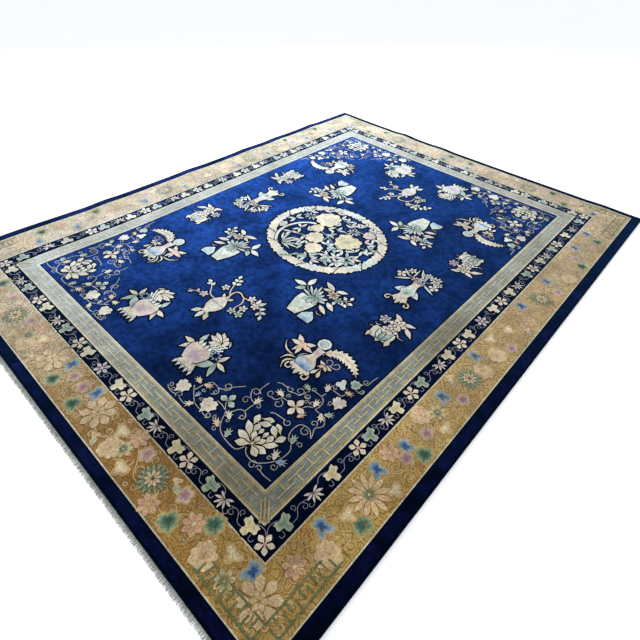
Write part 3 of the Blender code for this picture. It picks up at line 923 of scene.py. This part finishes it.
def in_corners(unit, x, y):
    """A unit's places at x and y and mirrored to the rug's other three quarters."""
    return [(unit, x * sx, y * sy, 0.0 if sy > 0 else 180.0, sx * sy, 1.0)
            for sx in (1, -1) for sy in (1, -1)]


TREASURES = (fruit_bowl(), blossom_vase(), feather_vase(), urn(), flower_pot(), narcissus_vase())
treasure_places = [(1, 0.017, -0.835, 0.0, 1.0, 1.0), (1, 0.017, 0.835, 180.0, -1.0, 1.0),
                   (5, 0.657, -0.048, 0.0, 1.0, 1.0), (5, -0.652, 0.023, 180.0, 1.0, 1.0)]
for unit, x, y in ((0, 0.240, -1.108), (2, 0.620, -0.780), (3, 0.342, -0.500), (4, 0.768, -0.367)):
    treasure_places += in_corners(unit, x, y)
planted("field_vases", TREASURES, treasure_places, pattern_material)

# ---------------------------------------------------------------- medallion
# The round centre of the field: a wreath of scalloped leaves end to end, and inside it peonies, a
# curved branch, buds, leaves and a tuft of grass. Drawn once, in millimetres from its middle.


def peony(t, x, y, radius, tip, base, line, turn=0.0, cleft=0.0):
    """A full flower as one uneven scalloped mass, which may be cleft at the top, with inner petals
    drawn by a line of a deeper dye."""
    outline, rim, halo = t.outline, t.rim, t.halo
    t.patch(x, y, [radius * (0.86 + 0.16 * abs(math.cos(4.5 * a)) + 0.05 * math.cos(3.0 * a + x)
                             - cleft * max(0.0, math.cos(a - 1.6)) ** 24)
                   for a in (math.pi * k / 27.0 for k in range(54))],
            ((0.4, blend(tip, base, 0.7)), (1.0, tip)))
    t.outline, t.rim, t.halo = blend(line, tip, 0.35), 1.4, 0.0
    for share, petals, spin in ((0.88, 7, 20), (0.54, 5, 0)):
        for k in range(petals):
            t.ray(x, y, turn + spin + 360.0 * k / petals, 0.08 * radius, share * radius,
                  radius * share * 3.4 / petals, base, tip, full=0.64)
    t.rosette(x, y, radius * 0.15, 5, 0.2, ((0.5, line), (1.0, base)))
    t.outline, t.rim, t.halo = outline, rim, halo


def sprig(t, x, y, angle, size, tip, base, parts):
    """Pointed leaves that fan out from one stalk, 64 degrees apart."""
    for k in range(parts):
        t.ray(x, y, angle + (k - (parts - 1) / 2.0) * 64.0, 0, size, size * 0.38, base, tip, full=0.5)


medallion_drawing = Tufts(BLACK, rim=3.8, pinch=0.8, halo=15.0)
t = medallion_drawing
ICE, BUTTER = blend(PALE_BLUE, CREAM, 0.5), dye(246, 218, 172)
WREATH = (PALE_GREEN, PEACH, BUTTER, BUTTER, CREAM, BUTTER, PALE_GREEN, WHITE, CREAM, PEACH, ICE, CREAM,
          PINK, BUTTER, BUTTER, PINK, BUTTER, PALE_GREEN, BUTTER, WHITE, BUTTER, PEACH, ICE)
t.level = 0.8
WREATH_WIDE, WREATH_HIGH = 368, 330      # half the width and half the height of its middle line
wreath_rows, per_leaf = [], 8
for k in range(len(WREATH) * per_leaf + 1):
    angle = 2.0 * math.pi * (k / per_leaf - 0.6) / len(WREATH)
    here, after = k // per_leaf % len(WREATH), (k // per_leaf + 1) % len(WREATH)
    share = k % per_leaf / per_leaf
    leaf_dye = blend(WREATH[here], WREATH[after], max(0.0, 2.0 * share - 1.0))
    full = math.sin(math.pi * share) ** 0.5 if share else 0.3
    wreath_rows.append((WREATH_WIDE * math.cos(angle), WREATH_HIGH * math.sin(angle),
                        23 + 6 * full + 5.0 * math.sin(2.5 * k) + 3.5 * math.sin(1.7 * k),
                        blend(leaf_dye, WHITE, 0.42), blend(leaf_dye, BUTTER, 0.38)))
t.ribbon(wreath_rows, rim=2.8)
for degrees in (82, 53, 33, 14, -18, -45, -79, -99, -129, -146, 172, 140, 118):       # where leaves part, drawn as dark lines of painted groove shade
    angle = math.radians(degrees)
    for path in (((1.065, 0.0), (1.03, 0.02), (0.98, 0.07)), ((0.925, 0.11), (0.96, 0.09), (0.975, 0.03))):
        t.stem([(WREATH_WIDE * share * math.cos(angle + turn), WREATH_HIGH * share * math.sin(angle + turn))
                for share, turn in path], 7, BLACK, 2, BLACK, parts=1)
t.level = 0.8
for x0, y0, x1, y1, tip in ((-172, -222, -222, -160, WHITE), (-168, -228, -186, -140, CREAM),
                            (-160, -228, -128, -142, PALE_GREEN), (-150, -232, -92, -160, WHITE),
                            (-144, -238, -60, -192, CREAM), (-140, -244, -32, -222, WHITE),
                            (-150, -250, -70, -262, PALE_GREEN), (-160, -240, -100, -206, PALE_GREEN)):
    t.petal(x0, y0, x1, y1, 15, PALE_GREEN, tip, bend=0.06)
for points in (
        ((-157, 54), (-60, 20), (40, -10), (110, -60)), ((-43, -67), (-130, -96), (-200, -130)),
        ((136, 47), (200, 30), (246, 60), (284, 40)), ((29, -153), (120, -140), (180, -150), (236, -90)),
        ((188, 202), (110, 190), (40, 212), (-64, 230)), ((-121, 154), (-200, 140), (-238, 108)),
        ((160, 0), (210, -50), (240, -88), (232, -170)), ((11, 29), (14, -40), (10, -110)),
        ((40, -200), (90, -236), (150, -212), (224, -176)), ((-10, 108), (60, 120), (130, 110))):
    t.stem(points, 4, PALE_GREEN, 4, MAUVE)
t.stem(((-150, 62), (-196, 34), (-236, -14), (-262, -82), (-262, -146), (-240, -204), (-204, -248)), 16,
       WHITE, 20, CREAM)
t.rosette(-300, -92, 36, 6, 0.2, ((0.4, PEACH), (1.0, CREAM)), squash=0.7, turn=95)
for k in range(9):
    a = math.radians(40 * k + 10)
    for x, y, reach in ((-238, 108, 52), (94, 160, 46)):
        t.petal(x, y, x + reach * math.cos(a), y + reach * 0.8 * math.sin(a), 12, GREY, PALE_BLUE, full=0.7)
LEAVES = (WHITE, CREAM), (WHITE, PALE_BLUE), (WHITE, PINK), (PALE_GREEN, GREEN), (WHITE, PALE_GREEN)
for x, y, angle, kind in (
        (-69, 232, 60, 0), (-14, 226, 80, 1), (34, 214, 60, 2), (84, 226, 100, 0), (-20, 170, 200, 1),
        (50, 190, 140, 4), (6, 100, 60, 1), (-2, 26, 20, 3), (30, 30, 170, 1), (-50, 74, 30, 0),
        (-188, -40, 120, 2), (-184, -52, 270, 0), (-130, -34, 90, 1), (-150, -104, 160, 2),
        (-110, -98, 330, 0), (-200, -120, 240, 2), (64, -66, 120, 1), (84, -78, 20, 1), (122, -66, 250, 3),
        (168, -44, 240, 0), (232, -10, 150, 4), (216, 118, 60, 2), (250, 100, 20, 0), (284, 74, 60, 3),
        (262, 34, 320, 0), (292, 30, 90, 4), (190, -128, 100, 0), (140, -156, 200, 0), (150, -166, 340, 4),
        (238, -84, 60, 3), (272, -70, 20, 2), (262, -110, 300, 3), (-44, -178, 240, 4), (66, -220, 60, 1),
        (104, -254, 20, 2), (60, -256, 200, 0), (158, -204, 40, 3), (222, -170, 330, 0), (226, -166, 90, 2),
        (-300, 26, 60, 4), (-290, 10, 240, 0), (-296, 130, 120, 1), (-280, 150, 60, 0), (-176, 236, 150, 0),
        (-130, 262, 60, 2), (230, 190, 330, 0), (150, 246, 60, 4), (196, 258, 100, 0), (110, 268, 150, 2),
        (256, -136, 200, 0), (-60, -128, 300, 0), (-90, -140, 250, 2), (10, -250, 300, 3)):
    t.level = 1.0
    sprig(t, x, y, angle, 52, *LEAVES[kind], parts=2 + (x > 0) * (y < 0))
for x, y, radius, tip, base, line, turn in (
        (-105, 29, 45, BUTTER, dye(236, 200, 138), dye(206, 170, 118), 10),
        (29, -153, 56, BUTTER, dye(236, 200, 138), dye(206, 168, 120), 30),
        (188, 202, 42, PINK, dye(216, 168, 154), dye(186, 130, 120), 0),
        (-43, -62, 60, BUTTER, dye(236, 200, 138), dye(206, 170, 118), 0),
        (-123, 157, 86, dye(244, 222, 168), dye(236, 194, 148), dye(212, 158, 116), 15),
        (137, 47, 86, dye(252, 230, 168), dye(246, 216, 142), dye(214, 180, 112), 0)):
    t.level = 1.4
    peony(t, x, y, radius, tip, base, line, turn, cleft=0.22 if radius == 86 and x > 0 else 0.0)
planted("medallion", [medallion_drawing], [(0, -0.014, 0.0, 0.0, 1.0, 1.0)], pattern_material)

# ---------------------------------------------------------------- corner sprays
# Each corner of the field: a chrysanthemum seen from the side, on trailing vines with curled
# tendrils, tulips and leaves. Drawn once from the flower's foot, for the near right corner.
VINE, ORANGE = dye(196, 182, 166), dye(212, 160, 114)


def both_sides(*half):
    """A shape's reaches all round, from those of one side, tip first."""
    return half + half[-2:0:-1]


TREFOIL = both_sides(1.00, 0.92, 0.72, 0.52, 0.74, 0.95, 0.98, 0.86, 0.62, 0.48, 0.44)
VINE_LEAF = both_sides(1.02, 1.06, 0.82, 0.48, 0.54, 0.94, 1.04, 0.92, 1.14, 0.86, 0.56, 0.60)
TULIP = both_sides(1.10, 0.48, 1.04, 0.46, 0.38, 0.70, 0.38, 0.32, 0.34, 0.40, 0.46, 0.54, 0.62)
HEART_LEAF = both_sides(1.24, 0.84, 0.78, 0.94, 0.76, 0.86, 1.00, 0.80, 0.94, 0.84, 0.78, 0.50)


def coil(t, x, y, radius, start, hand, width=2.8, coil_dye=VINE):
    """A tendril wound in round its middle, anticlockwise from start degrees if hand is 1."""
    points = []
    for k in range(8):
        angle = math.radians(start + hand * 50.0 * k)
        reach = radius * (1.0 - 0.095 * k)
        points.append((x + reach * math.cos(angle), y + reach * math.sin(angle)))
    t.stem(points, width, coil_dye, width * 0.7, coil_dye, parts=2)


spray = Tufts(BLACK, rim=2.8, pinch=0.8, halo=10.0)
t = spray
for points in (
        ((0, -11), (20, -30), (67, -33), (99, -7), (120, 22), (133, 57), (132, 97), (112, 119),
         (89, 130), (73, 160), (75, 200), (93, 215), (125, 215), (149, 193)),
        ((-8, -15), (-24, -45), (-75, -47), (-111, -41), (-141, -27), (-167, 3), (-181, 30), (-208, 53),
         (-220, 67)),
        ((-251, 47), (-221, 47), (-176, 40), (-156, 80), (-133, 91), (-111, 80), (-108, 62), (-125, 53)),
        ((-131, 91), (-131, 123), (-131, 143), (-161, 153), (-181, 170), (-192, 189)),
        ((-151, 197), (-168, 211), (-169, 237), (-167, 260)),
        ((-388, 27), (-368, 10), (-338, -11), (-308, -27), (-263, -31), (-240, -35), (-217, -33)),
        ((-368, 10), (-365, 40), (-358, 73), (-341, 93), (-298, 93), (-275, 110), (-260, 138),
         (-227, 178)),
        ((-311, 93), (-287, 80), (-285, 63), (-300, 51)),
        ((-472, -49), (-455, -57), (-425, -59), (-408, -55)),
        ((-381, -55), (-365, -57), (-348, -58), (-331, -49)), ((-48, 163), (-32, 173), (19, 179)),
        ((-141, 291), (-127, 299), (-93, 302)),
        ((-67, 293), (-48, 303), (-29, 310), (-12, 350), (-7, 367), (45, 369), (69, 355), (76, 323),
         (72, 302), (105, 302)),
        ((45, 369), (49, 393)), ((-15, 350), (-13, 330), (2, 317), (15, 329)),
        ((59, 430), (92, 430), (104, 430), (112, 450), (99, 477)),
        ((59, 303), (37, 289), (28, 263), (37, 246)),
        ((129, 297), (145, 280), (149, 260), (133, 235), (145, 210), (153, 191)),
        ((125, 503), (142, 497), (160, 503), (160, 522)),
        ((140, 551), (151, 560), (151, 583), (156, 622)),
        ((-101, 217), (-81, 223), (-67, 249), (-15, 251)), ((107, -38), (132, -42), (167, -39))):
    t.level = 0.3
    t.stem(points, 3.2, VINE, 2.8, VINE)
for row in (
        (72, -43, 19, 60, 1), (100, -35, 13, 200, -1), (135, 7, 16, 60, -1), (142, 138, 13, 200, -1),
        (115, 198, 21, 150, 1), (35, 178, 19, 170, 1), (-75, 305, 17, 170, 1), (-40, 325, 23, 300, 1),
        (4, 329, 15, 240, 1), (-120, 230, 19, 330, -1), (-61, 215, 23, 100, -1),
        (-171, 189, 21, 190, -1), (-171, 133, 19, 80, 1), (-109, 147, 13, 170, -1),
        (-118, 67, 15, 60, -1), (-148, 15, 10, 120, -1), (-155, -45, 12, 110, 1),
        (-225, -25, 15, 270, 1), (-281, 123, 23, 290, 1), (-295, 70, 13, 60, -1),
        (-338, 40, 9, 20, -1), (-435, -47, 12, 270, -1), (-393, -45, 17, 250, -1),
        (-465, -37, 12, 300, 1), (0, 375, 11, 250, -1), (-56, 274, 11, 250, -1), (93, 369, 12, 270, 1),
        (55, 451, 13, 330, -1), (155, 507, 13, 110, -1), (137, 565, 15, 300, -1),
        (43, 315, 11, 240, -1), (115, 249, 16, 0, 1), (96, 19, 10, 60, 1), (-308, 3, 9, 200, -1),
        (129, 370, 11, 100, 1), (19, 303, 11, 30, 1), (-195, -11, 11, 120, 1)):
    t.level = 0.34
    coil(t, *row)
t.rim = 3.6
for x, y, angle, size, tip, base in (
        (-131, 159, 90, 25, CREAM, PEACH), (-159, 33, 145, 24, CREAM, PEACH),
        (-167, -23, 156, 25, PEACH, PINK), (-99, -25, 111, 24, PALE_GREEN, GREEN),
        (-393, 58, 166, 24, PEACH, CREAM), (-347, 67, 21, 24, PEACH, PINK),
        (-338, 6, 90, 17, PALE_BLUE, BLUE), (-324, -41, -130, 23, CREAM, PEACH),
        (107, 41, 116, 25, CREAM, PEACH), (140, 35, 35, 24, PALE_BLUE, BLUE),
        (109, 135, 110, 24, PALE_GREEN, GREEN), (48, 238, 76, 24, ORANGE, PEACH),
        (-88, 259, 170, 25, CREAM, PEACH), (55, 323, 101, 24, CREAM, PEACH),
        (113, 293, -49, 24, CREAM, PEACH), (129, 319, 38, 23, PALE_GREEN, GREEN),
        (-27, 363, 173, 22, PALE_GREEN, GREEN), (37, 418, 113, 25, CREAM, PINK),
        (117, 463, 16, 23, ORANGE, PEACH)):
    t.level = 0.5
    t.leaf(x, y, angle, size * 1.2, TULIP, tip, base)
for x, y, angle, size, shape, tip, base in (
        (-263, 10, -90, 42, HEART_LEAF, CREAM, PEACH), (-420, -5, -96, 38, HEART_LEAF, CREAM, PEACH),
        (122, 398, -79, 35, HEART_LEAF, CREAM, PINK), (69, 480, -149, 31, TREFOIL, WHITE, CREAM),
        (112, 520, 45, 29, HEART_LEAF, PALE_GREEN, GREEN)):
    t.level = 0.6
    t.leaf(x, y, angle, size, shape, tip, base)
for x, y, reach, base, turns in ((-220, 76, 40, GREEN, (90, 184, -4)),
                                 (5, 254, 46, PEACH, (90, 180, 270, 360))):
    for turn in turns:
        t.ray(x, y, turn, 0, reach, 30, base, CREAM, full=0.62)
t.rim = 4.4
for row in (
        (-51, 120, -8, 143, 24), (55, 120, 12, 143, 24), (-51, 93, -5, 122, 24), (55, 95, 5, 124, 24),
        (-58, 77, -73, 123, 25), (60, 77, 79, 123, 25), (-8, 23, -86, 73, 27), (12, 23, 82, 77, 27),
        (-5, 15, -80, 18, 27), (12, 15, 72, 22, 27), (1, 10, -51, -23, 27), (7, 10, 55, -10, 27),
        (-34, 52, -38, 94, 23), (-11, 58, -11, 89, 17), (14, 58, 15, 90, 17), (38, 52, 42, 93, 23),
        (-8, 24, -26, 60, 21), (14, 24, 30, 60, 21), (4, 20, 4, 54, 17)):
    t.petal(*row[:4], row[4] * 1.22, dye(206, 184, 142), CREAM, full=0.64)
t.rosette(4, 17, 7, 5, 0.2, ((0.4, PINK), (1.0, PEACH)), rim=1.0)
planted("corner_sprays", [spray], in_corners(0, 0.755, -1.300), pattern_material)

# ---------------------------------------------------------------- flower border
# The dark inner border: open flowers and lotus fans by turns, a leaf and curled tendrils after
# each. Every side starts from its middle flower and mirrors, and a flower turns each corner.
BORDER_VINE, OLIVE, PALE_OLIVE = dye(156, 146, 152), dye(108, 124, 98), dye(176, 184, 158)
WHEAT, STRAW = dye(208, 178, 116), dye(228, 214, 176)
BORDER_MIDDLE = (1.0705, 1.5002)       # half the width and half the length of its middle line


def border_run(t, leaf_tip, leaf_base, hand=1, reach=136):
    """A leaf, reach away from a flower, and the tendrils before and after it. hand is 1 along the
    side and -1 back along it."""
    span = reach - 52
    for points in (
            [(28 + share * span, y)
             for share, y in ((1.0, 18), (0.76, 16), (0.54, -6), (0.36, -11), (0.06, -4))],
            ((20, 19), (30, 29), (42, 27), (44, 18), (37, 14)),
            ((reach + 12, -25), (reach + 30, -31), (reach + 50, -29), (reach + 66, -16)),
            ((reach + 22, 14), (reach + 26, 28), (reach + 40, 27), (reach + 41, 18))):
        t.level = 0.3
        t.stem([(x * hand, y) for x, y in points], 2.0, BORDER_VINE, 1.8, BORDER_VINE)
    for share, y, radius, start, way in ((0.66, -18, 12, 80, 1), (0.30, 8, 14, 250, -1)):
        coil(t, (28 + share * span) * hand, y, radius, start if hand > 0 else 180 - start, way * hand,
             1.9, BORDER_VINE)
    t.level = 0.5
    t.leaf(reach * hand, -3, 90 + 9 * hand, 34, VINE_LEAF, leaf_tip, leaf_base)


def border_flower(t):
    t.flower(0, -1, 36, 5, blend(CREAM, PEACH, 0.2), PEACH, MAUVE, turn=90, full=0.66, wide=0.94)


def border_lotus(t):
    for x, y, width in ((30, -20, 10), (34, 1, 10), (23, 24, 9), (2, 34, 10), (-20, 28, 10), (-35, 9, 11),
                        (-29, -16, 10)):
        t.petal(1, -5, x, y, width, dye(208, 176, 164), CREAM, full=0.62)


BORDER_UNITS = [Tufts(BLACK, rim=2.4, pinch=0.5, halo=6.0, ground=NAVY) for _ in range(8)]
(open_flower, lotus, middle_flower, corner_flower,
 long_flower, long_lotus, close_lotus, last_flower) = BORDER_UNITS
for unit, reach, tip, base in ((open_flower, 136, PALE_OLIVE, OLIVE), (long_flower, 110, STRAW, WHEAT),
                               (last_flower, 150, STRAW, WHEAT)):
    border_run(unit, tip, base, reach=reach)
    border_flower(unit)
for unit, reach, tip, base in ((lotus, 136, STRAW, WHEAT), (long_lotus, 147, PALE_OLIVE, OLIVE),
                               (close_lotus, 107, PALE_OLIVE, OLIVE)):
    border_run(unit, tip, base, reach=reach)
    border_lotus(unit)
for hand in (1, -1):
    border_run(middle_flower, STRAW, PEACH, hand)
middle_flower.flower(0, 0, 36, 6, dye(222, 212, 212), MAUVE, CREAM, turn=0, wide=0.86)
corner_flower.flower(0, 0, 35, 5, CREAM, PEACH, MAUVE, turn=45, wide=0.9)
SHORT_SIDE = ((0, 0.214), (1, 0.428), (0, 0.642), (1, 0.856))     # unit, distance from the middle
LONG_SIDE = ((4, 0.222), (5, 0.414), (4, 0.642), (6, 0.826), (7, 1.010), (5, 1.262))
border_rows = {}
for side, flowers, out in each_side((SHORT_SIDE, BORDER_MIDDLE[1]), (LONG_SIDE, BORDER_MIDDLE[0])):
    border_rows[side] = [(2, 0.0, out, 1.0)]
    border_rows[side] += [(unit, along * way, out, way) for unit, along in flowers for way in (1.0, -1.0)]
border_places = on_sides(border_rows) + in_corners(3, *BORDER_MIDDLE)
planted("flower_border", BORDER_UNITS, border_places, pattern_material)

# ---------------------------------------------------------------- gold border
# The wide border: gold wool with carved scrolls in its own colour, with painted shade in their grooves
# and painted highlight on their ridges, and over them flowers, leaves and butterflies in soft faded
# dyes, without dark outlines.
# the scrolls' dark rims are painted shade in their grooves, and their pale lines painted highlight on their
# ridges
GROOVE_SHADE_GOLD, RIDGE_HIGHLIGHT_GOLD = dye(132, 88, 42), dye(222, 184, 124)
FADED_PINK, FADED_CREAM, FADED_GREEN = dye(220, 178, 138), dye(230, 202, 152), dye(152, 164, 128)
FADED_BLUE, FADED_MAUVE, SOFT = dye(156, 170, 168), dye(210, 178, 164), dye(172, 126, 72)
TEAL, DEEP_BLUE, ROSE = dye(58, 92, 78), dye(74, 114, 158), dye(166, 110, 124)

scroll = Tufts(GROOVE_SHADE_GOLD, rim=2.0, step=0.01)
t = scroll
t.stem(((-112, -16), (-70, 32), (-10, 40), (30, 0), (80, -35), (118, -16)), 4, RIDGE_HIGHLIGHT_GOLD, 4, RIDGE_HIGHLIGHT_GOLD)
for x, y, radius, start, hand in (
        (-84, -8, 22, 90, 1), (-46, 60, 15, 250, -1), (-8, 8, 20, 80, -1), (40, -30, 18, 150, 1),
        (52, 20, 17, 260, -1), (84, 0, 18, 260, 1), (-52, -48, 17, 60, 1), (-98, 44, 13, 300, 1),
        (-16, -52, 16, 100, -1), (30, 56, 16, 200, -1), (100, 44, 15, 240, 1), (66, -66, 14, 100, 1),
        (-84, -66, 12, 20, 1), (10, -74, 12, 180, 1), (-16, 72, 11, 0, 1)):
    coil(t, x, y, radius, start, hand, 4.0, RIDGE_HIGHLIGHT_GOLD)
scroll_rows = {}
for side, count, half, out in each_side((12, 1.30, 1.633), (14, 1.53, 1.2155)):
    pitch = 2 * half / count
    scroll_rows[side] = [(0, -half + pitch * (k + 0.5), out, 1.0 if k % 2 else -1.0) for k in range(count)]
planted("gold_scrolls", [scroll], on_sides(scroll_rows), trim_material)

GOLD_MOTIFS = [Tufts(SOFT, rim=2.6) for _ in range(12)]
(mallow, butterfly, small_flower, leaves, trefoil, soft_peony, chrysanthemum, pink_flower, green_flower,
 leaf_spray, corner_key, daisy) = GOLD_MOTIFS
for number, motif in enumerate(GOLD_MOTIFS):               # none level with another, where two meet
    motif.level = 1.0 + 0.013 * number
for motif in (butterfly, small_flower, leaves, trefoil):            # these run out into the gold
    motif.outline, motif.rim, motif.sharp = GOLD, 7.0, False
mallow.flower(0, 0, 74, 8, FADED_CREAM, FADED_PINK, SOFT, full=0.7, wide=1.06)
mallow.flower(0, 0, 30, 6, FADED_PINK, FADED_CREAM, SOFT, full=0.6, turn=20)
WING = both_sides(0.62, 1.00, 1.22, 1.16, 0.80, 0.52, 0.56, 0.78, 0.92, 0.80, 0.84, 0.90)
BLOSSOM = tuple(1.0 - 0.34 * (1.0 - abs(math.cos(math.pi * k / 6.0))) for k in range(30))


def soft_bloom(t, x, y, turn, size, shape, heart, middle, edge):
    """A patch that runs from its heart's dye out to the gold."""
    t.patch(x, y, [size * reach for reach in shape],
            ((0.30, heart), (0.62, middle), (0.86, edge), (1.0, blend(edge, GOLD, 0.6))), turn)


soft_bloom(butterfly, 0, 0, 80, 38, WING, DEEP_BLUE, blend(DEEP_BLUE, FADED_BLUE, 0.5), FADED_BLUE)
soft_bloom(small_flower, 0, 0, 20, 31, BLOSSOM, ROSE, blend(ROSE, FADED_MAUVE, 0.5), FADED_MAUVE)
soft_bloom(leaves, 0, 0, 30, 41, HEART_LEAF, TEAL, blend(TEAL, FADED_GREEN, 0.4), FADED_GREEN)
soft_bloom(trefoil, 0, 0, 90, 34, TREFOIL, dye(236, 214, 172), FADED_CREAM, FADED_PINK)
peony(soft_peony, 0, 0, 47, blend(FADED_CREAM, FADED_PINK, 0.4), FADED_PINK, dye(190, 140, 96))
chrysanthemum.outline = TEAL
chrysanthemum.flower(0, 0, 60, 15, blend(FADED_GREEN, FADED_CREAM, 0.4), TEAL, TEAL, wide=0.92)
chrysanthemum.flower(0, 0, 33, 9, FADED_CREAM, FADED_PINK, TEAL, turn=20)
pink_flower.flower(0, 0, 42, 7, FADED_PINK, dye(214, 164, 132), FADED_CREAM, wide=1.05)
green_flower.flower(0, 0, 36, 7, FADED_CREAM, FADED_GREEN, TEAL)
green_flower.flower(0, 0, 18, 6, FADED_GREEN, TEAL, FADED_CREAM, turn=20)
leaf_spray.leaf(-8, -8, 60, 20, TREFOIL, FADED_CREAM, FADED_PINK)
leaf_spray.leaf(14, 12, 160, 16, TREFOIL, blend(PALE_GREEN, FADED_CREAM, 0.5), FADED_GREEN)
daisy.flower(0, 0, 82, 12, FADED_CREAM, FADED_PINK, TEAL, full=0.62, wide=0.86)
daisy.flower(0, 0, 25, 9, FADED_GREEN, TEAL, FADED_CREAM, turn=15)
KEY_GREEN = dye(118, 122, 84)
for x0, y0, x1, y1 in ((0, 0, -342, 0), (0, 0, 0, -342), (-54, -54, -342, -54), (-54, -54, -54, -342)):
    bar(corner_key, x0, y0, x1, y1, 7.0, KEY_GREEN)
for k in range(12):
    place, start, end = -30 - 26 * k, *((0, -38) if k % 2 else (-54, -16))
    if k > 1 or k % 2:
        bar(corner_key, place, start, place, end, 7.0, KEY_GREEN)
        bar(corner_key, start, place, end, place, 7.0, KEY_GREEN)
NEAR_HALF = (       # motif's number, distance along from the side's middle, and out from the rug's
    (3, 0.090, 1.676), (0, 0.205, 1.625), (1, 0.112, 1.580), (2, 0.040, 1.606), (4, 0.353, 1.600),
    (7, 0.430, 1.573), (8, 0.427, 1.640), (5, 0.385, 1.672), (9, 0.303, 1.690), (4, 0.490, 1.684),
    (6, 0.610, 1.628), (2, 0.512, 1.590), (7, 0.680, 1.690), (2, 0.744, 1.585), (3, 0.778, 1.676),
    (7, 0.850, 1.622), (3, 0.900, 1.575), (9, 0.690, 1.580), (5, 0.955, 1.660), (4, 1.020, 1.590),
    (8, 1.060, 1.660), (0, 1.180, 1.622), (1, 1.105, 1.580))
RIGHT_SIDE = (      # motif's number, y, x
    (6, -0.386, 1.212), (8, -0.647, 1.205), (1, -0.243, 1.160), (1, -0.562, 1.176), (1, -0.875, 1.199),
    (1, -1.031, 1.176), (3, -0.850, 1.272), (2, -0.512, 1.250), (2, -0.070, 1.267), (7, 0.177, 1.245),
    (2, -0.766, 1.228), (7, -0.940, 1.172), (2, -0.914, 1.232), (5, -0.164, 1.236), (5, -0.710, 1.161),
    (4, -0.087, 1.160), (5, -0.300, 1.237), (9, -0.450, 1.150), (4, -0.690, 1.272), (4, 0.040, 1.196),
    (1, 0.264, 1.162), (6, 0.400, 1.221), (9, 0.100, 1.275), (2, 0.523, 1.262), (1, 0.577, 1.175),
    (9, 0.659, 1.198), (7, 0.782, 1.230), (3, 0.877, 1.272), (2, 0.930, 1.216), (5, 0.700, 1.262),
    (1, 1.050, 1.166), (3, 1.227, 1.250), (7, 1.120, 1.250), (0, 1.350, 1.212), (1, 1.280, 1.160),
    (11, -1.128, 1.2175), (1, -1.328, 1.168), (3, -1.228, 1.266), (5, -1.380, 1.245), (7, -1.480, 1.190),
    (4, -1.050, 1.275), (4, -1.235, 1.205))
gold_rows = {side: [(unit, along * way, out, float(way)) for unit, along, out in NEAR_HALF for way in (1, -1)]
             for side in ("near", "far")}
gold_rows["right"] = [(unit, -y, x, 1.0) for unit, y, x in RIGHT_SIDE]
gold_rows["left"] = [(unit, -y, x, -1.0) for unit, y, x in RIGHT_SIDE]
gold_places = on_sides(gold_rows) + in_corners(10, 1.293, 1.704)
gold_flower_material = wool("gold_flower_wool", (1.0, 0.93, 0.78), uneven=0.4, sheen_and_fade=0.55,
                            patches=((GOLD, 30.0, 0.52, 0.30),), curl_groove_shade=dye(138, 94, 46), groove_shade_strength=0.14)
planted("gold_border_flowers", GOLD_MOTIFS, gold_places, gold_flower_material)

# ---------------------------------------------------------------- fringe
# The foundation's undyed cotton warps beyond each short end: a narrow woven strip along the pile's
# edge, then loose ends of uneven length, lying on the floor.
COTTON = dye(214, 212, 202)
STRIP_START, STRIP_DEPTH, STRIP_HALF = PILE_LENGTH / 2 + 0.0005, 0.006, RUG_WIDTH / 2 - 0.004
LOCKS, LOCK_REACH = 148, 0.0185
TUBE_SIDES, TUBE_PARTS = 5, 4


def yarns(seed):
    """Five cotton ends as thin tapering tubes: each starts in the strip and lies on the floor."""
    ends, rng = Skins(), random.Random(seed)
    for k in range(5):
        root = (k - 2) * 0.0037
        tip = root + rng.uniform(-0.0024, 0.0024)
        reach, sway = LOCK_REACH * rng.uniform(0.62, 0.88), rng.uniform(-0.0014, 0.0014)
        shade = rng.uniform(0.90, 1.0)
        end_dye, rings = tuple(c * shade for c in COTTON), []
        for part in range(TUBE_PARTS + 1):
            t = part / TUBE_PARTS
            x = root + (tip - root) * t + sway * math.sin(math.pi * t)
            thick = 0.00135 * (1.0 - 0.35 * t)
            z = thick + 0.0008 * (1.0 - t) ** 2
            angles = (2.0 * math.pi * side / TUBE_SIDES for side in range(TUBE_SIDES))
            rings.append([(x + thick * math.cos(angle), reach * t, z + thick * math.sin(angle), end_dye)
                          for angle in angles])
        ends.ring_skin(rings)
    return ends


def selvedge(length):
    """A short length of the woven strip, ribbed by its warps, with painted shade on its lower ribs."""
    strip, steps, rings = Skins(), 12, []
    for k in range(steps + 1):
        x, rib = -length / 2 + length * k / steps, 0.0026 if k % 2 else 0.0021
        # the lower ribs a little darker: painted shade between the raised ones
        rib_dye_and_shade = tuple(c * (1.0 if k % 2 else 0.94) for c in COTTON)
        rings.append([(x, y, z, rib_dye_and_shade) for y, z in (
            (0.0, 0.0), (0.0, rib), (STRIP_DEPTH / 2, rib + 0.0004), (STRIP_DEPTH, rib * 0.8),
            (STRIP_DEPTH, 0.0))])
    strip.ring_skin(rings)
    return strip


cotton_material = wool("undyed_cotton", (1.0, 1.0, 1.0), uneven=0.3)
fringe_pitch = 2 * STRIP_HALF / LOCKS
fringe_units = [yarns(seed) for seed in range(9)] + [selvedge(fringe_pitch)]
for name, side, node in (("near_fringe", "near", "fringe_near"), ("far_fringe", "far", "fringe_far")):
    rng = random.Random(11 if side == "near" else 12)
    rows = []
    for k in range(LOCKS):
        along = -STRIP_HALF + fringe_pitch * (k + 0.5)
        rows.append((9, along, STRIP_START, 1.0))
        rows.append((rng.randrange(9), along, STRIP_START + STRIP_DEPTH * 0.6, rng.choice((-1.0, 1.0))))
    piece = planted(name, fringe_units, on_sides({side: rows}), cotton_material)
    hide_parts(node)
